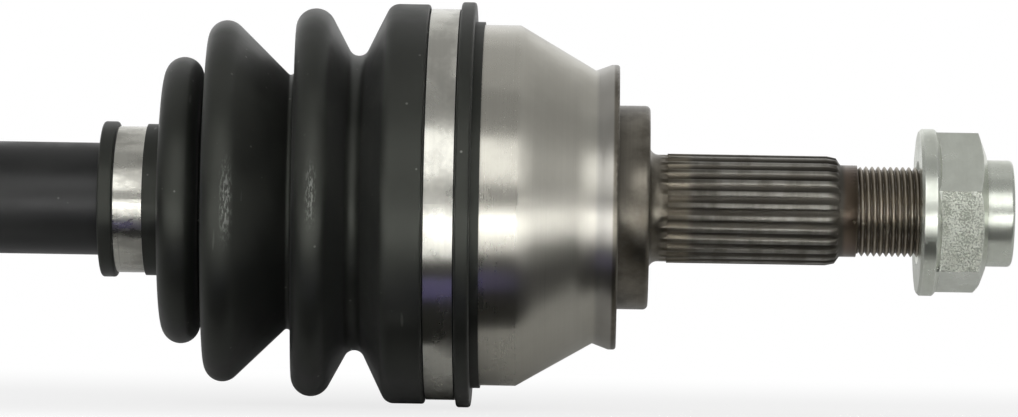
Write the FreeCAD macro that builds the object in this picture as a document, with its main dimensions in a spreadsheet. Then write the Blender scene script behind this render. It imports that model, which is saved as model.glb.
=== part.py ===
import FreeCAD, Part
import math
import os
from FreeCAD import Vector

# A front-wheel half shaft: a fixed six-ball joint with its splined stub and hub nut at the
# wheel end, a bar, and a plunging tripod joint at the gearbox end, each under a bellows boot.
# Everything turns about the X axis. +X points to the wheel and +Z is up. The origin is on the
# axis, in the plane of the shoulder that the wheel bearing seats against.

# Driving dimensions in millimetres: the alias of the cell, its value, and what it measures.
SIZES = (
    ("outer_setback", 43.0, "hub shoulder back to the centre of the ball joint"),
    ("joint_spacing", 317.0, "centre of the ball joint to the centre of the tripod joint"),
    ("fit_gap", 0.05, "radial gap of a fitted pair"),
    ("slip_gap", 0.15, "gap between the nested spheres and under the balls"),
    ("seat_gap", 0.1, "axial gap beside rings, clips and bands in their grooves"),
    ("bell_radius", 44.05, "outside of the bell"),
    ("mouth_reach", 17.0, "ball joint centre to the bell's open end"),
    ("mouth_bevel_radius", 35.4, "bevel at the open end, which clears the bar at full lock"),
    ("mouth_bevel_reach", 13.8, "where that bevel meets the spherical bore"),
    ("bell_cone_setback", 31.9, "hub shoulder to where the bell starts to taper"),
    ("waist_radius", 33.35, "small end of the taper"),
    ("waist_setback", 13.4, "hub shoulder to the small end of the taper"),
    ("flare_radius", 34.8, "dust lip turned on the back of the bell"),
    ("flare_setback", 7.6, "hub shoulder to the face of the dust lip"),
    ("flare_edge", 1.9, "width of the dust lip's rim"),
    ("flare_round", 0.7, "rounded edge of that rim"),
    ("land_radius", 24.9, "seal land behind the hub shoulder"),
    ("land_round", 1.2, "rounded edge of the seal land"),
    ("stub_root_round", 2.2, "fillet between the hub shoulder and the stub"),
    ("neck_radius", 13.05, "plain neck between the shoulder and the splines"),
    ("spline_start", 4.4, "hub shoulder to the first of the splines"),
    ("spline_end", 46.6, "hub shoulder to the last of the splines"),
    ("spline_radius", 13.35, "over the stub's spline teeth"),
    ("spline_root", 12.3, "under the stub's spline teeth"),
    ("spline_floor_half", 0.5, "half the width of a spline groove at its floor"),
    ("spline_mouth_half", 1.0, "half the width of a spline groove at the teeth's tips"),
    ("spline_bevel", 3.4, "length of the rounded lead-in of the splines"),
    ("relief_radius", 11.2, "thread run-out"),
    ("thread_start", 50.6, "hub shoulder to the first thread"),
    ("thread_radius", 11.0, "outside of the stub's thread"),
    ("stub_length", 87.0, "hub shoulder to the end of the stub"),
    ("stub_bevel", 1.4, "lead-in at the end of the stub"),
    ("stub_slot_half", 2.0, "half the width of the slot that the nut's collar is staked into"),
    ("stub_slot_depth", 2.4, "depth of that slot"),
    ("stub_slot_length", 13.0, "length of that slot"),
    ("centre_radius", 4.2, "mouth of the turning centre"),
    ("centre_depth", 7.2, "depth of the turning centre"),
    ("bore_sphere", 33.0, "spherical bore of the bell"),
    ("floor_reach", 27.4, "ball joint centre to the floor of the bell"),
    ("ball_radius", 8.75, "balls of the outer joint"),
    ("ball_circle", 30.0, "radius of the circle of ball centres"),
    ("track_play", 1.5, "sideways room of a ball in its track, each way"),
    ("cage_outer", 32.85, "outer sphere of the cage"),
    ("cage_inner", 28.45, "inner sphere of the cage"),
    ("cage_half", 14.0, "half the width of the cage"),
    ("window_half", 10.6, "half the length of a cage window round the axis"),
    ("window_corner", 3.2, "corner of a cage window"),
    ("race_sphere", 28.3, "sphere of the inner race"),
    ("race_half", 13.5, "half the width of the inner race"),
    ("race_bevel", 1.5, "bevel at the ends of the race's bore"),
    ("bar_radius", 13.7, "the bar between the boots"),
    ("bar_neck_radius", 12.3, "the bar inside the boots"),
    ("bar_taper", 6.0, "length of the bar's tapers"),
    ("bar_spline_radius", 12.5, "over the bar's spline teeth"),
    ("bar_spline_root", 11.6, "under the bar's spline teeth"),
    ("bar_floor_half", 0.48, "half the width of the bar's spline grooves at the floor"),
    ("bar_mouth_half", 0.88, "half the width of the bar's spline grooves at the tips"),
    ("bar_shoulder_radius", 13.4, "shoulder that the race stops against"),
    ("bar_shoulder_width", 3.5, "width of that shoulder"),
    ("bar_end_margin", 2.2, "bar left beyond its last ring groove"),
    ("bar_bevel", 1.0, "lead-in at the bar's ends"),
    ("ring_groove_radius", 10.9, "floor of the snap ring grooves in the bar"),
    ("ring_outer", 13.6, "outside of the snap rings on the bar"),
    ("ring_width", 1.6, "thickness of the snap rings on the bar"),
    ("ring_gap_half", 3.0, "half the opening of a snap ring"),
    ("boot_wall", 2.2, "wall of both boots"),
    ("band_wall", 0.8, "thickness of the clamp bands"),
    ("band_width", 7.1, "width of the clamp bands"),
    ("rim_radius", 19.0, "rim at a boot's small end"),
    ("rim_width", 3.7, "width of that rim"),
    ("small_seat_radius", 17.0, "floor of the band groove at a boot's small end"),
    ("small_step_radius", 18.5, "step inboard of that groove"),
    ("small_step_width", 3.0, "width of that step"),
    ("small_step_round", 1.4, "fillet between that step and the first fold"),
    ("boot_edge_round", 0.7, "rounded edges of the rims and lips"),
    ("outer_boot_length", 90.3, "ball joint centre to the small end of the outer boot"),
    ("fold_a_place", 70.9, "ball joint centre to the crest of the smallest fold"),
    ("fold_a_radius", 35.0, "crest of the smallest fold"),
    ("fold_a_round", 4.6, "rounding of that crest"),
    ("valley_a_place", 65.6, "place of the valley beside the smallest fold"),
    ("valley_a_radius", 27.0, "floor of that valley"),
    ("valley_a_round", 0.6, "rounding of that valley"),
    ("fold_b_place", 60.6, "place of the middle fold"),
    ("fold_b_radius", 44.15, "crest of the middle fold"),
    ("fold_b_round", 4.5, "rounding of that crest"),
    ("valley_b_place", 45.0, "place of the valley between the middle and the large fold"),
    ("valley_b_radius", 31.1, "floor of that valley"),
    ("valley_b_round", 0.9, "rounding of that valley"),
    ("fold_c_place", 39.0, "place of the large fold"),
    ("fold_c_radius", 47.4, "crest of the large fold"),
    ("fold_c_round", 4.9, "rounding of that crest"),
    ("valley_c_place", 28.4, "place of the open valley beside the collar"),
    ("valley_c_radius", 36.0, "floor of that valley"),
    ("valley_c_round", 2.6, "rounding of that valley"),
    ("collar_place", 18.6, "start of the collar that grips the bell"),
    ("collar_radius", 48.8, "outside of that collar"),
    ("collar_round", 3.0, "rounded shoulder of that collar"),
    ("collar_end", 11.0, "ball joint centre to the end of the collar"),
    ("large_seat_radius", 46.9, "floor of the large band's groove"),
    ("lip_start", 3.3, "ball joint centre to the start of the boot's end lip"),
    ("lip_radius", 49.5, "outside of the end lip"),
    ("lip_width", 3.5, "width of the end lip"),
    ("skirt_radius", 44.75, "thin skirt beyond the end lip"),
    ("skirt_width", 2.2, "width of that skirt"),
    ("boot_shoulder_depth", 2.1, "how far the boot's inner shoulder covers the housing's end"),
    ("boot_shoulder_run", 4.2, "length of that shoulder"),
    ("ear_height", 3.4, "height of a clamp band's crimped ear"),
    ("ear_half", 4.4, "half the width of a crimped ear"),
    ("nut_engagement", 21.4, "end of the stub back to the seating face of the hub nut"),
    ("nut_flange_radius", 20.4, "flange of the hub nut"),
    ("nut_flange_rim", 4.4, "height of the flange's rim"),
    ("nut_flange_bevel", 0.7, "bevel on the edges of the flange"),
    ("nut_cone_rise", 0.9, "height over which the flange slopes into the hexagon's flats"),
    ("nut_across_flats", 35.0, "hexagon of the hub nut"),
    ("nut_hex_height", 16.4, "seating face to the end of the hexagon"),
    ("nut_bevel_radius", 14.4, "end face of the hexagon inside its bevel"),
    ("nut_bevel_rise", 2.2, "height of the hexagon's bevel"),
    ("nut_collar_radius", 13.0, "staking collar of the nut"),
    ("nut_collar_end", 23.0, "seating face to the end of the collar"),
    ("nut_collar_round", 1.0, "rounded end of the collar"),
    ("nut_mouth_radius", 12.6, "countersink in the nut's seating face"),
    ("tulip_radius", 38.5, "outside of the tripod housing"),
    ("tulip_mouth", 30.0, "tripod centre to the housing's open end"),
    ("tulip_floor", 36.8, "tripod centre to the floor of the housing"),
    ("tulip_floor_wall", 9.0, "wall behind that floor"),
    ("tulip_bore", 20.5, "bore between the tracks"),
    ("tulip_bore_mouth", 27.5, "that bore where it opens to the mouth"),
    ("tulip_bore_taper", 6.0, "tripod centre to where the bore starts to open"),
    ("roller_circle", 22.5, "axis to the centre of a roller"),
    ("roller_radius", 16.0, "spherical outside of a roller"),
    ("roller_half", 5.5, "half the width of a roller"),
    ("roller_play", 0.65, "gap between a roller and its track"),
    ("track_roof", 33.0, "flat roof of the tripod tracks"),
    ("scallop_radius", 15.0, "hollows between the tracks on the outside"),
    ("scallop_offset", 43.5, "axis to the centre of those hollows"),
    ("scallop_start", 2.0, "tripod centre to the start of the hollows"),
    ("tulip_back_radius", 26.0, "small end of the housing's back"),
    ("tulip_back_cone", 11.0, "length of the cone at the housing's back"),
    ("inner_seat_radius", 40.6, "floor of the large band's groove on the inner boot"),
    ("inner_collar_radius", 42.2, "collar of the inner boot"),
    ("inner_lip_radius", 43.0, "end lip of the inner boot"),
    ("shield_seat_radius", 21.0, "seat of the dust shield"),
    ("shield_seat_width", 4.0, "width of that seat"),
    ("shield_radius", 29.0, "outside of the dust shield"),
    ("shield_wall", 1.2, "sheet of the dust shield"),
    ("shield_depth", 6.5, "depth of the dust shield's rim"),
    ("inner_land_radius", 17.5, "seal land of the gearbox stub"),
    ("inner_land_length", 21.0, "length of that land"),
    ("inner_neck_length", 5.0, "neck between the land and the splines"),
    ("inner_spline_length", 30.0, "splines of the gearbox stub"),
    ("inner_tip_length", 4.0, "plain tip beyond those splines"),
    ("inner_tip_radius", 11.6, "radius of that tip"),
    ("spider_radius", 16.5, "hub of the tripod"),
    ("spider_half", 11.0, "half the width of that hub"),
    ("trunnion_radius", 8.5, "journals of the tripod"),
    ("trunnion_tip", 30.4, "axis to the end of a journal"),
    ("trunnion_groove", 7.6, "floor of the ring groove in a journal"),
    ("trunnion_bevel", 0.8, "bevel at the end of a journal"),
    ("needle_radius", 1.5, "needles between a journal and its roller"),
    ("washer_outer", 11.9, "retaining ring on a journal"),
    ("washer_wall", 1.0, "thickness of that ring"),
    ("inner_boot_length", 112.7, "tripod centre to the small end of the inner boot"),
    ("inner_fold_first", 19.0, "small end of the inner boot to its first crest"),
    ("inner_fold_pitch", 15.0, "crest to crest of the inner boot"),
    ("inner_fold_rest", 10.0, "least distance from the housing's mouth to the last valley"),
    ("inner_fold_radius", 27.0, "first crest of the inner boot"),
    ("inner_fold_growth", 3.5, "growth of each crest over the one before"),
    ("inner_fold_round", 3.2, "rounding of the inner boot's crests"),
    ("inner_valley_radius", 20.5, "first valley of the inner boot"),
    ("inner_valley_growth", 2.9, "growth of each valley over the one before"),
    ("inner_valley_round", 2.2, "rounding of the inner boot's valleys"),
)

BALLS = 6
TRUNNIONS = 3
NEEDLES = 20
TEETH = 27
TRACK_SWEEP = 84.0
RACE_SWEEP = 120.0
CENTRE_ANGLE = 60.0

doc = FreeCAD.newDocument("half_shaft")


# A length that carries both its number and the formula that ties it to the sheet
class Size:
    def __init__(self, value, formula):
        self.value = value
        self.formula = formula

    def __add__(self, other):
        return Size(self.value + number(other), f"({self.formula} + {formula(other)})")

    def __radd__(self, other):
        return Size(number(other) + self.value, f"({formula(other)} + {self.formula})")

    def __sub__(self, other):
        return Size(self.value - number(other), f"({self.formula} - {formula(other)})")

    def __rsub__(self, other):
        return Size(number(other) - self.value, f"({formula(other)} - {self.formula})")

    def __mul__(self, other):
        return Size(self.value * number(other), f"({self.formula} * {formula(other)})")

    __rmul__ = __mul__

    def __truediv__(self, other):
        return Size(self.value / number(other), f"({self.formula} / {formula(other)})")

    def __neg__(self):
        return Size(-self.value, f"(0 - {self.formula})")


def number(size):
    return size.value if isinstance(size, Size) else float(size)


def formula(size):
    return size.formula if isinstance(size, Size) else f"{float(size):.9f}"


def root(size):
    """Square root of a Size."""
    return Size(math.sqrt(size.value), f"sqrt({size.formula})")


# The cells of the sheet, read as attributes: cell.bell_radius is a Size
class Cells:
    def __init__(self, sheet_name, rows):
        self.sheet_name = sheet_name
        self.rows = {alias: value for alias, value, _ in rows}

    def __getattr__(self, alias):
        return Size(self.rows[alias], f"{self.sheet_name}.{alias}")


def make_sheet():
    sheet = doc.addObject("Spreadsheet::Sheet", "Sizes")
    for row, (alias, value, note) in enumerate(SIZES, start=1):
        sheet.set(f"A{row}", note)
        sheet.set(f"B{row}", str(value))
        sheet.setAlias(f"B{row}", alias)
    doc.recompute()
    return Cells(sheet.Name, SIZES)


cell = make_sheet()


def bind(thing, name, size):
    """Gives a property its value, and ties it to the sheet where the size is tied."""
    if isinstance(size, Size):
        thing.setExpression(name, size.formula)
    else:
        setattr(thing, name, size)


def new_body(label, place=0.0):
    """A body whose own origin lies on the shaft's axis at the given place."""
    body = doc.addObject("PartDesign::Body", label)
    body.Label = label
    if isinstance(place, Size):
        body.Placement.Base = Vector(place.value, 0, 0)
        body.setExpression("Placement.Base.x", place.formula)
    return body


def origin_of(body, role):
    return next(o for o in body.Origin.OriginFeatures if o.Role == role)


# A sketch on one of the body's own planes. Each point of it is held by constraints that
# follow the sheet. Planes: XZ for profiles turned about the axis, YZ for cross-sections,
# and XY for what is cut or raised along Z.
class Drawing:
    def __init__(self, body, name, plane, lift=None):
        self.sketch = body.newObject("Sketcher::SketchObject", name)
        self.sketch.AttachmentSupport = [(origin_of(body, f"{plane}_Plane"), "")]
        self.sketch.MapMode = "FlatFace"
        if lift is not None:
            self.sketch.setExpression("AttachmentOffset.Base.z", formula(lift))
        self.rules = []
        self.sizes = []

    def add(self, shape):
        return self.sketch.addGeometry(shape, False)

    def line(self, start, end):
        first = Vector(number(start[0]), number(start[1]), 0)
        last = Vector(number(end[0]), number(end[1]), 0)
        return self.add(Part.LineSegment(first, last))

    def arc(self, centre, radius, start, end):
        """An arc that runs anticlockwise between two angles in degrees."""
        middle = Vector(number(centre[0]), number(centre[1]), 0)
        ring = Part.Circle(middle, Vector(0, 0, 1), number(radius))
        index = self.add(Part.ArcOfCircle(ring, math.radians(start), math.radians(end)))
        self.rule("Radius", radius, index)
        self.place(index, 3, centre)
        return index

    def circle(self, centre, radius):
        middle = Vector(number(centre[0]), number(centre[1]), 0)
        index = self.add(Part.Circle(middle, Vector(0, 0, 1), number(radius)))
        self.rule("Radius", radius, index)
        self.place(index, 3, centre)
        return index

    def rule(self, kind, size, *where):
        """A constraint with a size, tied to the sheet when the sketch is closed."""
        import Sketcher
        if isinstance(size, Size):
            self.sizes.append((len(self.rules), size.formula))
        self.rules.append(Sketcher.Constraint(kind, *where, number(size)))

    def link(self, kind, *where):
        """A constraint with no size."""
        import Sketcher
        self.rules.append(Sketcher.Constraint(kind, *where))

    def at_x(self, index, end, size):
        if not isinstance(size, Size) and size == 0:
            self.link("PointOnObject", index, end, -2)
        else:
            self.rule("DistanceX", size, -1, 1, index, end)

    def at_y(self, index, end, size):
        if not isinstance(size, Size) and size == 0:
            self.link("PointOnObject", index, end, -1)
        else:
            self.rule("DistanceY", size, -1, 1, index, end)

    def place(self, index, end, point):
        self.at_x(index, end, point[0])
        self.at_y(index, end, point[1])

    def polygon(self, points):
        """A closed outline of straight lines."""
        lines = [self.line(a, b) for a, b in zip(points, points[1:] + points[:1])]
        for this, following, point in zip(lines, lines[1:] + lines[:1], points):
            self.link("Coincident", this, 2, following, 1)
            self.place(this, 1, point)

    def close(self):
        """Adds the constraints at once and ties the sized ones to the sheet."""
        self.sketch.addConstraint(self.rules)
        for index, text in self.sizes:
            self.sketch.setExpression(f"Constraints[{index}]", text)
        return self.sketch


def outline(body, name, plane, points, lift=None):
    drawing = Drawing(body, name, plane, lift)
    drawing.polygon(points)
    return drawing.close()


# One corner of a smooth outline: a plain point, or an arc that the straight runs meet at a
# tangent. turn is 1 where the outline turns left round the arc and -1 where it turns right.
class Corner:
    def __init__(self, x, y, radius=0.0, turn=1):
        self.x = x
        self.y = y
        self.radius = radius
        self.turn = turn
        self.plain = not isinstance(radius, Size) and radius == 0.0


def tangent_points(first, second):
    """Where the run between two corners leaves the first and meets the second."""
    dx = number(second.x) - number(first.x)
    dy = number(second.y) - number(first.y)
    pull_first = first.turn * number(first.radius)
    pull_second = second.turn * number(second.radius)
    lean = math.asin((pull_second - pull_first) / math.hypot(dx, dy))
    heading = math.atan2(dy, dx) - lean
    side = (-math.sin(heading), math.cos(heading))
    leave = (number(first.x) - pull_first * side[0], number(first.y) - pull_first * side[1])
    meet = (number(second.x) - pull_second * side[0], number(second.y) - pull_second * side[1])
    return leave, meet


def angle_about(corner, point):
    return math.degrees(math.atan2(point[1] - number(corner.y), point[0] - number(corner.x)))


def smooth_outline(body, name, plane, corners):
    """A closed outline of straight runs joined by tangent arcs."""
    drawing = Drawing(body, name, plane)
    following = corners[1:] + corners[:1]
    runs = [tangent_points(a, b) for a, b in zip(corners, following)]
    lines = [drawing.line(leave, meet) for leave, meet in runs]
    for i, corner in enumerate(corners):
        before = lines[i - 1]
        after = lines[i]
        if corner.plain:
            drawing.link("Coincident", before, 2, after, 1)
            drawing.place(after, 1, (corner.x, corner.y))
            continue
        enter = angle_about(corner, runs[i - 1][1])
        leave = angle_about(corner, runs[i][0])
        start, end = (enter, leave) if corner.turn > 0 else (leave, enter)
        if end < start:
            end += 360.0
        arc = drawing.arc((corner.x, corner.y), corner.radius, start, end)
        drawing.link("Tangent", before, 2, arc, 1 if corner.turn > 0 else 2)
        drawing.link("Tangent", after, 1, arc, 2 if corner.turn > 0 else 1)
    return drawing.close()


def turn(body, name, sketch, cut=False, about="H_Axis", sweep=360.0):
    """Turns a sketch about one of its own axes, to add or to cut."""
    kind = "PartDesign::Groove" if cut else "PartDesign::Revolution"
    feature = body.newObject(kind, name)
    feature.Profile = sketch
    feature.ReferenceAxis = (sketch, [about])
    feature.Angle = sweep
    feature.Midplane = sweep < 360.0
    sketch.Visibility = False
    return feature


def pad(body, name, sketch, length, both_ways=False, reverse=False):
    feature = body.newObject("PartDesign::Pad", name)
    feature.Profile = sketch
    bind(feature, "Length", length)
    feature.SideType = "Symmetric" if both_ways else "One side"
    feature.Reversed = reverse
    return feature


def pocket(body, name, sketch, length, both_ways=False, reverse=False):
    """Cuts against the sketch's own direction, or along it where reverse is set."""
    feature = body.newObject("PartDesign::Pocket", name)
    feature.Profile = sketch
    bind(feature, "Length", length)
    feature.SideType = "Symmetric" if both_ways else "One side"
    feature.Reversed = reverse
    return feature


def ring_of(body, name, features, count):
    """Repeats features about the shaft's axis."""
    pattern = body.newObject("PartDesign::PolarPattern", name)
    pattern.Originals = features
    pattern.Axis = (origin_of(body, "X_Axis"), [""])
    pattern.Angle = 360.0
    pattern.Occurrences = count
    body.Tip = pattern
    return pattern


def ring_edges(body, places):
    """Names of the tip's circular edges that lie at the given (x, radius) places."""
    wanted = [(number(x), number(r)) for x, r in places]
    names = []
    for index, edge in enumerate(body.Tip.Shape.Edges, start=1):
        if not isinstance(edge.Curve, Part.Circle):
            continue
        x, r = edge.Curve.Center.x, edge.Curve.Radius
        if any(abs(x - a) < 1e-3 and abs(r - b) < 1e-3 for a, b in wanted):
            names.append(f"Edge{index}")
    return names


def round_rings(body, name, radius, places):
    """Fillets the circular edges at the given (x, radius) places."""
    doc.recompute()
    base = body.Tip
    names = ring_edges(body, places)
    if len(names) < len(places):
        raise ValueError(f"{body.Label}: {name} found {len(names)} of {len(places)} edges")
    feature = body.newObject("PartDesign::Fillet", name)
    feature.Base = (base, names)
    bind(feature, "Radius", radius)
    return feature


def spline_grooves(body, name, tip, floor, mouth_half, floor_half, end, length):
    """Straight-sided grooves between the teeth of an outside spline, cut towards -X."""
    proud = tip + 1.0
    slope = (mouth_half - floor_half) / (tip - floor)
    wide = floor_half + slope * (proud - floor)
    points = [(-wide, proud), (-floor_half, floor), (floor_half, floor), (wide, proud)]
    sketch = outline(body, f"{name}_section", "YZ", points, lift=end)
    groove = pocket(body, name, sketch, length)
    return ring_of(body, f"{name}_ring", [groove], TEETH)


def spline_slots(body, name, half_width):
    """Slots of an inside spline that the bar's teeth fill with a small gap all round. The
    count is odd, so a tooth of the bar stands straight down where a groove stands straight
    up, and the slot that is drawn is the lowest one."""
    half_pitch = math.pi / TEETH
    sine, cosine = math.sin(half_pitch), math.cos(half_pitch)
    tip, floor = cell.bar_spline_radius, cell.bar_spline_root
    foot_half = floor * sine - cell.bar_floor_half * cosine + cell.fit_gap
    foot = floor * cosine + cell.bar_floor_half * sine
    tip_half = tip * sine - cell.bar_mouth_half * cosine + cell.fit_gap
    head = tip + cell.fit_gap
    low = foot - 1.0
    slope = (foot_half - tip_half) / (head - foot)
    low_half = foot_half + slope * (foot - low)
    points = [(low_half, -low), (-low_half, -low), (-tip_half, -head), (tip_half, -head)]
    sketch = outline(body, f"{name}_section", "YZ", points)
    slot = pocket(body, name, sketch, half_width * 2 + 2, both_ways=True)
    return ring_of(body, f"{name}_ring", [slot], TEETH)


def ball_tracks(body, sweep):
    """Six tracks that bend round the joint's centre, wider than the balls from side to side."""
    play, high = cell.track_play, cell.ball_circle
    radius = cell.ball_radius + cell.slip_gap
    drawing = Drawing(body, "track_section", "YZ")
    right = drawing.arc((play, high), radius, -90, 90)
    left = drawing.arc((-play, high), radius, 90, 270)
    top = drawing.line((play, high + radius), (-play, high + radius))
    bottom = drawing.line((-play, high - radius), (play, high - radius))
    drawing.link("Tangent", right, 2, top, 1)
    drawing.link("Tangent", top, 2, left, 1)
    drawing.link("Tangent", left, 2, bottom, 1)
    drawing.link("Tangent", bottom, 2, right, 1)
    groove = turn(body, "track", drawing.close(), cut=True, sweep=sweep)
    return ring_of(body, "tracks", [groove], BALLS)


def across(radius, reach):
    """Height of a circle of that radius at that reach from its centre."""
    return root(radius * radius - reach * reach)


# Wheel end

outer_place = -cell.outer_setback


def bell_profile():
    """The outside of the bell and its stub, from the mouth to the tip, as (x, radius)."""
    back = cell.outer_setback
    spline_tip = back + cell.spline_end
    thread = back + cell.thread_start
    tip = back + cell.stub_length
    lead = cell.thread_radius - cell.stub_bevel
    flare = back - cell.flare_setback
    half_way = cell.spline_bevel * 0.35
    return [
        (-cell.mouth_reach, 0),
        (-cell.mouth_reach, cell.bell_radius),
        (back - cell.bell_cone_setback, cell.bell_radius),
        (back - cell.waist_setback, cell.waist_radius),
        (flare - cell.flare_edge, cell.flare_radius),
        (flare, cell.flare_radius),
        (flare, cell.land_radius),
        (back, cell.land_radius),
        (back, cell.neck_radius),
        (back + cell.spline_start, cell.neck_radius),
        (back + cell.spline_start, cell.spline_radius),
        (spline_tip - cell.spline_bevel, cell.spline_radius),
        (spline_tip - half_way, cell.spline_radius - half_way * 0.4),
        (spline_tip, cell.relief_radius),
        (thread, cell.relief_radius),
        (thread, cell.thread_radius),
        (tip - cell.stub_bevel, cell.thread_radius),
        (tip, lead),
        (tip, 0),
    ]


def bell_cavity(body):
    """The spherical bore, its flat floor, and the bevel that lets the bar swing."""
    mouth, bevel, floor = -cell.mouth_reach, -cell.mouth_bevel_reach, cell.floor_reach
    sphere = cell.bore_sphere
    at_bevel = across(sphere, cell.mouth_bevel_reach)
    at_floor = across(sphere, cell.floor_reach)
    start = math.degrees(math.atan2(at_floor.value, floor.value))
    end = math.degrees(math.atan2(at_bevel.value, bevel.value))
    drawing = Drawing(body, "cavity_profile", "XZ")
    arc = drawing.arc((0, 0), sphere, start, end)
    cone = drawing.line((bevel, at_bevel), (mouth, cell.mouth_bevel_radius))
    rise = drawing.line((mouth, cell.mouth_bevel_radius), (mouth, 0))
    axis = drawing.line((mouth, 0), (floor, 0))
    wall = drawing.line((floor, 0), (floor, at_floor))
    drawing.link("Coincident", arc, 2, cone, 1)
    drawing.link("Coincident", cone, 2, rise, 1)
    drawing.link("Coincident", rise, 2, axis, 1)
    drawing.link("Coincident", axis, 2, wall, 1)
    drawing.link("Coincident", wall, 2, arc, 1)
    drawing.at_x(arc, 2, bevel)
    drawing.place(rise, 1, (mouth, cell.mouth_bevel_radius))
    drawing.place(axis, 1, (mouth, 0))
    drawing.place(wall, 1, (floor, 0))
    drawing.at_x(arc, 1, floor)
    return turn(body, "cavity", drawing.close(), cut=True)


def stub_details(body):
    """The turning centre in the stub's end and the slot for the nut's staked collar."""
    tip = cell.outer_setback + cell.stub_length
    cone = cell.centre_radius / math.tan(math.radians(CENTRE_ANGLE / 2))
    centre = [(tip, 0), (tip, cell.centre_radius), (tip - cone, 0)]
    turn(body, "centre", outline(body, "centre_profile", "XZ", centre), cut=True)
    half = cell.stub_slot_half
    low = cell.thread_radius - cell.stub_slot_depth
    high = cell.thread_radius + 1
    slot = [(-half, low), (half, low), (half, high), (-half, high)]
    sketch = outline(body, "stake_slot_section", "YZ", slot, lift=tip)
    pocket(body, "stake_slot", sketch, cell.stub_slot_length)


def make_outer_joint_housing():
    body = new_body("outer_joint_housing", outer_place)
    back = cell.outer_setback
    turn(body, "blank", outline(body, "blank_profile", "XZ", bell_profile()))
    bell_cavity(body)
    round_rings(body, "stub_root", cell.stub_root_round, [(back, cell.neck_radius)])
    round_rings(body, "land_edge", cell.land_round, [(back, cell.land_radius)])
    round_rings(body, "lip_edge", cell.flare_round,
                [(back - cell.flare_setback, cell.flare_radius)])
    ball_tracks(body, TRACK_SWEEP)
    length = cell.spline_end - cell.spline_start
    spline_grooves(body, "splines", cell.spline_radius, cell.spline_root,
                   cell.spline_mouth_half, cell.spline_floor_half,
                   back + cell.spline_end, length)
    stub_details(body)


def make_outer_inner_race():
    body = new_body("outer_inner_race", outer_place)
    half, sphere = cell.race_half, cell.race_sphere
    bore = cell.bar_spline_root + cell.fit_gap
    high = across(sphere, half)
    lean = math.degrees(math.atan2(high.value, half.value))
    drawing = Drawing(body, "race_profile", "XZ")
    arc = drawing.arc((0, 0), sphere, lean, 180 - lean)
    flare = bore + cell.race_bevel
    inside = half - cell.race_bevel
    points = [(-half, high), (-half, flare), (-inside, bore), (inside, bore), (half, flare),
              (half, high)]
    lines = [drawing.line(a, b) for a, b in zip(points, points[1:])]
    drawing.link("Coincident", arc, 2, lines[0], 1)
    for this, following in zip(lines, lines[1:]):
        drawing.link("Coincident", this, 2, following, 1)
    drawing.link("Coincident", lines[-1], 2, arc, 1)
    drawing.at_x(arc, 2, -half)
    drawing.at_x(arc, 1, half)
    for line, point in zip(lines[1:], points[1:-1]):
        drawing.place(line, 1, point)
    turn(body, "race", drawing.close())
    ball_tracks(body, RACE_SWEEP)
    spline_slots(body, "race_spline", half)


def make_outer_ball_cage():
    body = new_body("outer_ball_cage", outer_place)
    half = cell.cage_half
    outer, inner = cell.cage_outer, cell.cage_inner
    lean_out = math.degrees(math.acos(half.value / outer.value))
    lean_in = math.degrees(math.acos(half.value / inner.value))
    drawing = Drawing(body, "cage_profile", "XZ")
    over = drawing.arc((0, 0), outer, lean_out, 180 - lean_out)
    under = drawing.arc((0, 0), inner, lean_in, 180 - lean_in)
    left = drawing.line((-half, across(outer, half)), (-half, across(inner, half)))
    right = drawing.line((half, across(inner, half)), (half, across(outer, half)))
    drawing.link("Coincident", over, 2, left, 1)
    drawing.link("Coincident", left, 2, under, 2)
    drawing.link("Coincident", under, 1, right, 1)
    drawing.link("Coincident", right, 2, over, 1)
    drawing.at_x(over, 1, half)
    drawing.at_x(over, 2, -half)
    drawing.at_x(under, 1, half)
    drawing.at_x(under, 2, -half)
    turn(body, "shell", drawing.close())
    wide, long, cut = cell.ball_radius + cell.seat_gap, cell.window_half, cell.window_corner
    window = [(-wide, cut - long), (cut - wide, -long), (wide - cut, -long), (wide, cut - long),
              (wide, long - cut), (wide - cut, long), (cut - wide, long), (-wide, long - cut)]
    sketch = outline(body, "window_outline", "XY", window)
    hole = pocket(body, "window", sketch, outer + 1, reverse=True)
    ring_of(body, "windows", [hole], BALLS)


def make_outer_balls(label, seats):
    """Balls at the given seats of the six, counted round from the top."""
    balls = []
    for seat in seats:
        angle = 2 * math.pi * seat / BALLS
        ball = doc.addObject("Part::Sphere", f"{label}_{seat}")
        bind(ball, "Radius", cell.ball_radius)
        ball.setExpression("Placement.Base.x", outer_place.formula)
        ball.setExpression("Placement.Base.y", formula(cell.ball_circle * -math.sin(angle)))
        ball.setExpression("Placement.Base.z", formula(cell.ball_circle * math.cos(angle)))
        balls.append(ball)
    group = doc.addObject("Part::Compound", label)
    group.Label = label
    group.Links = balls


# Bar

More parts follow.
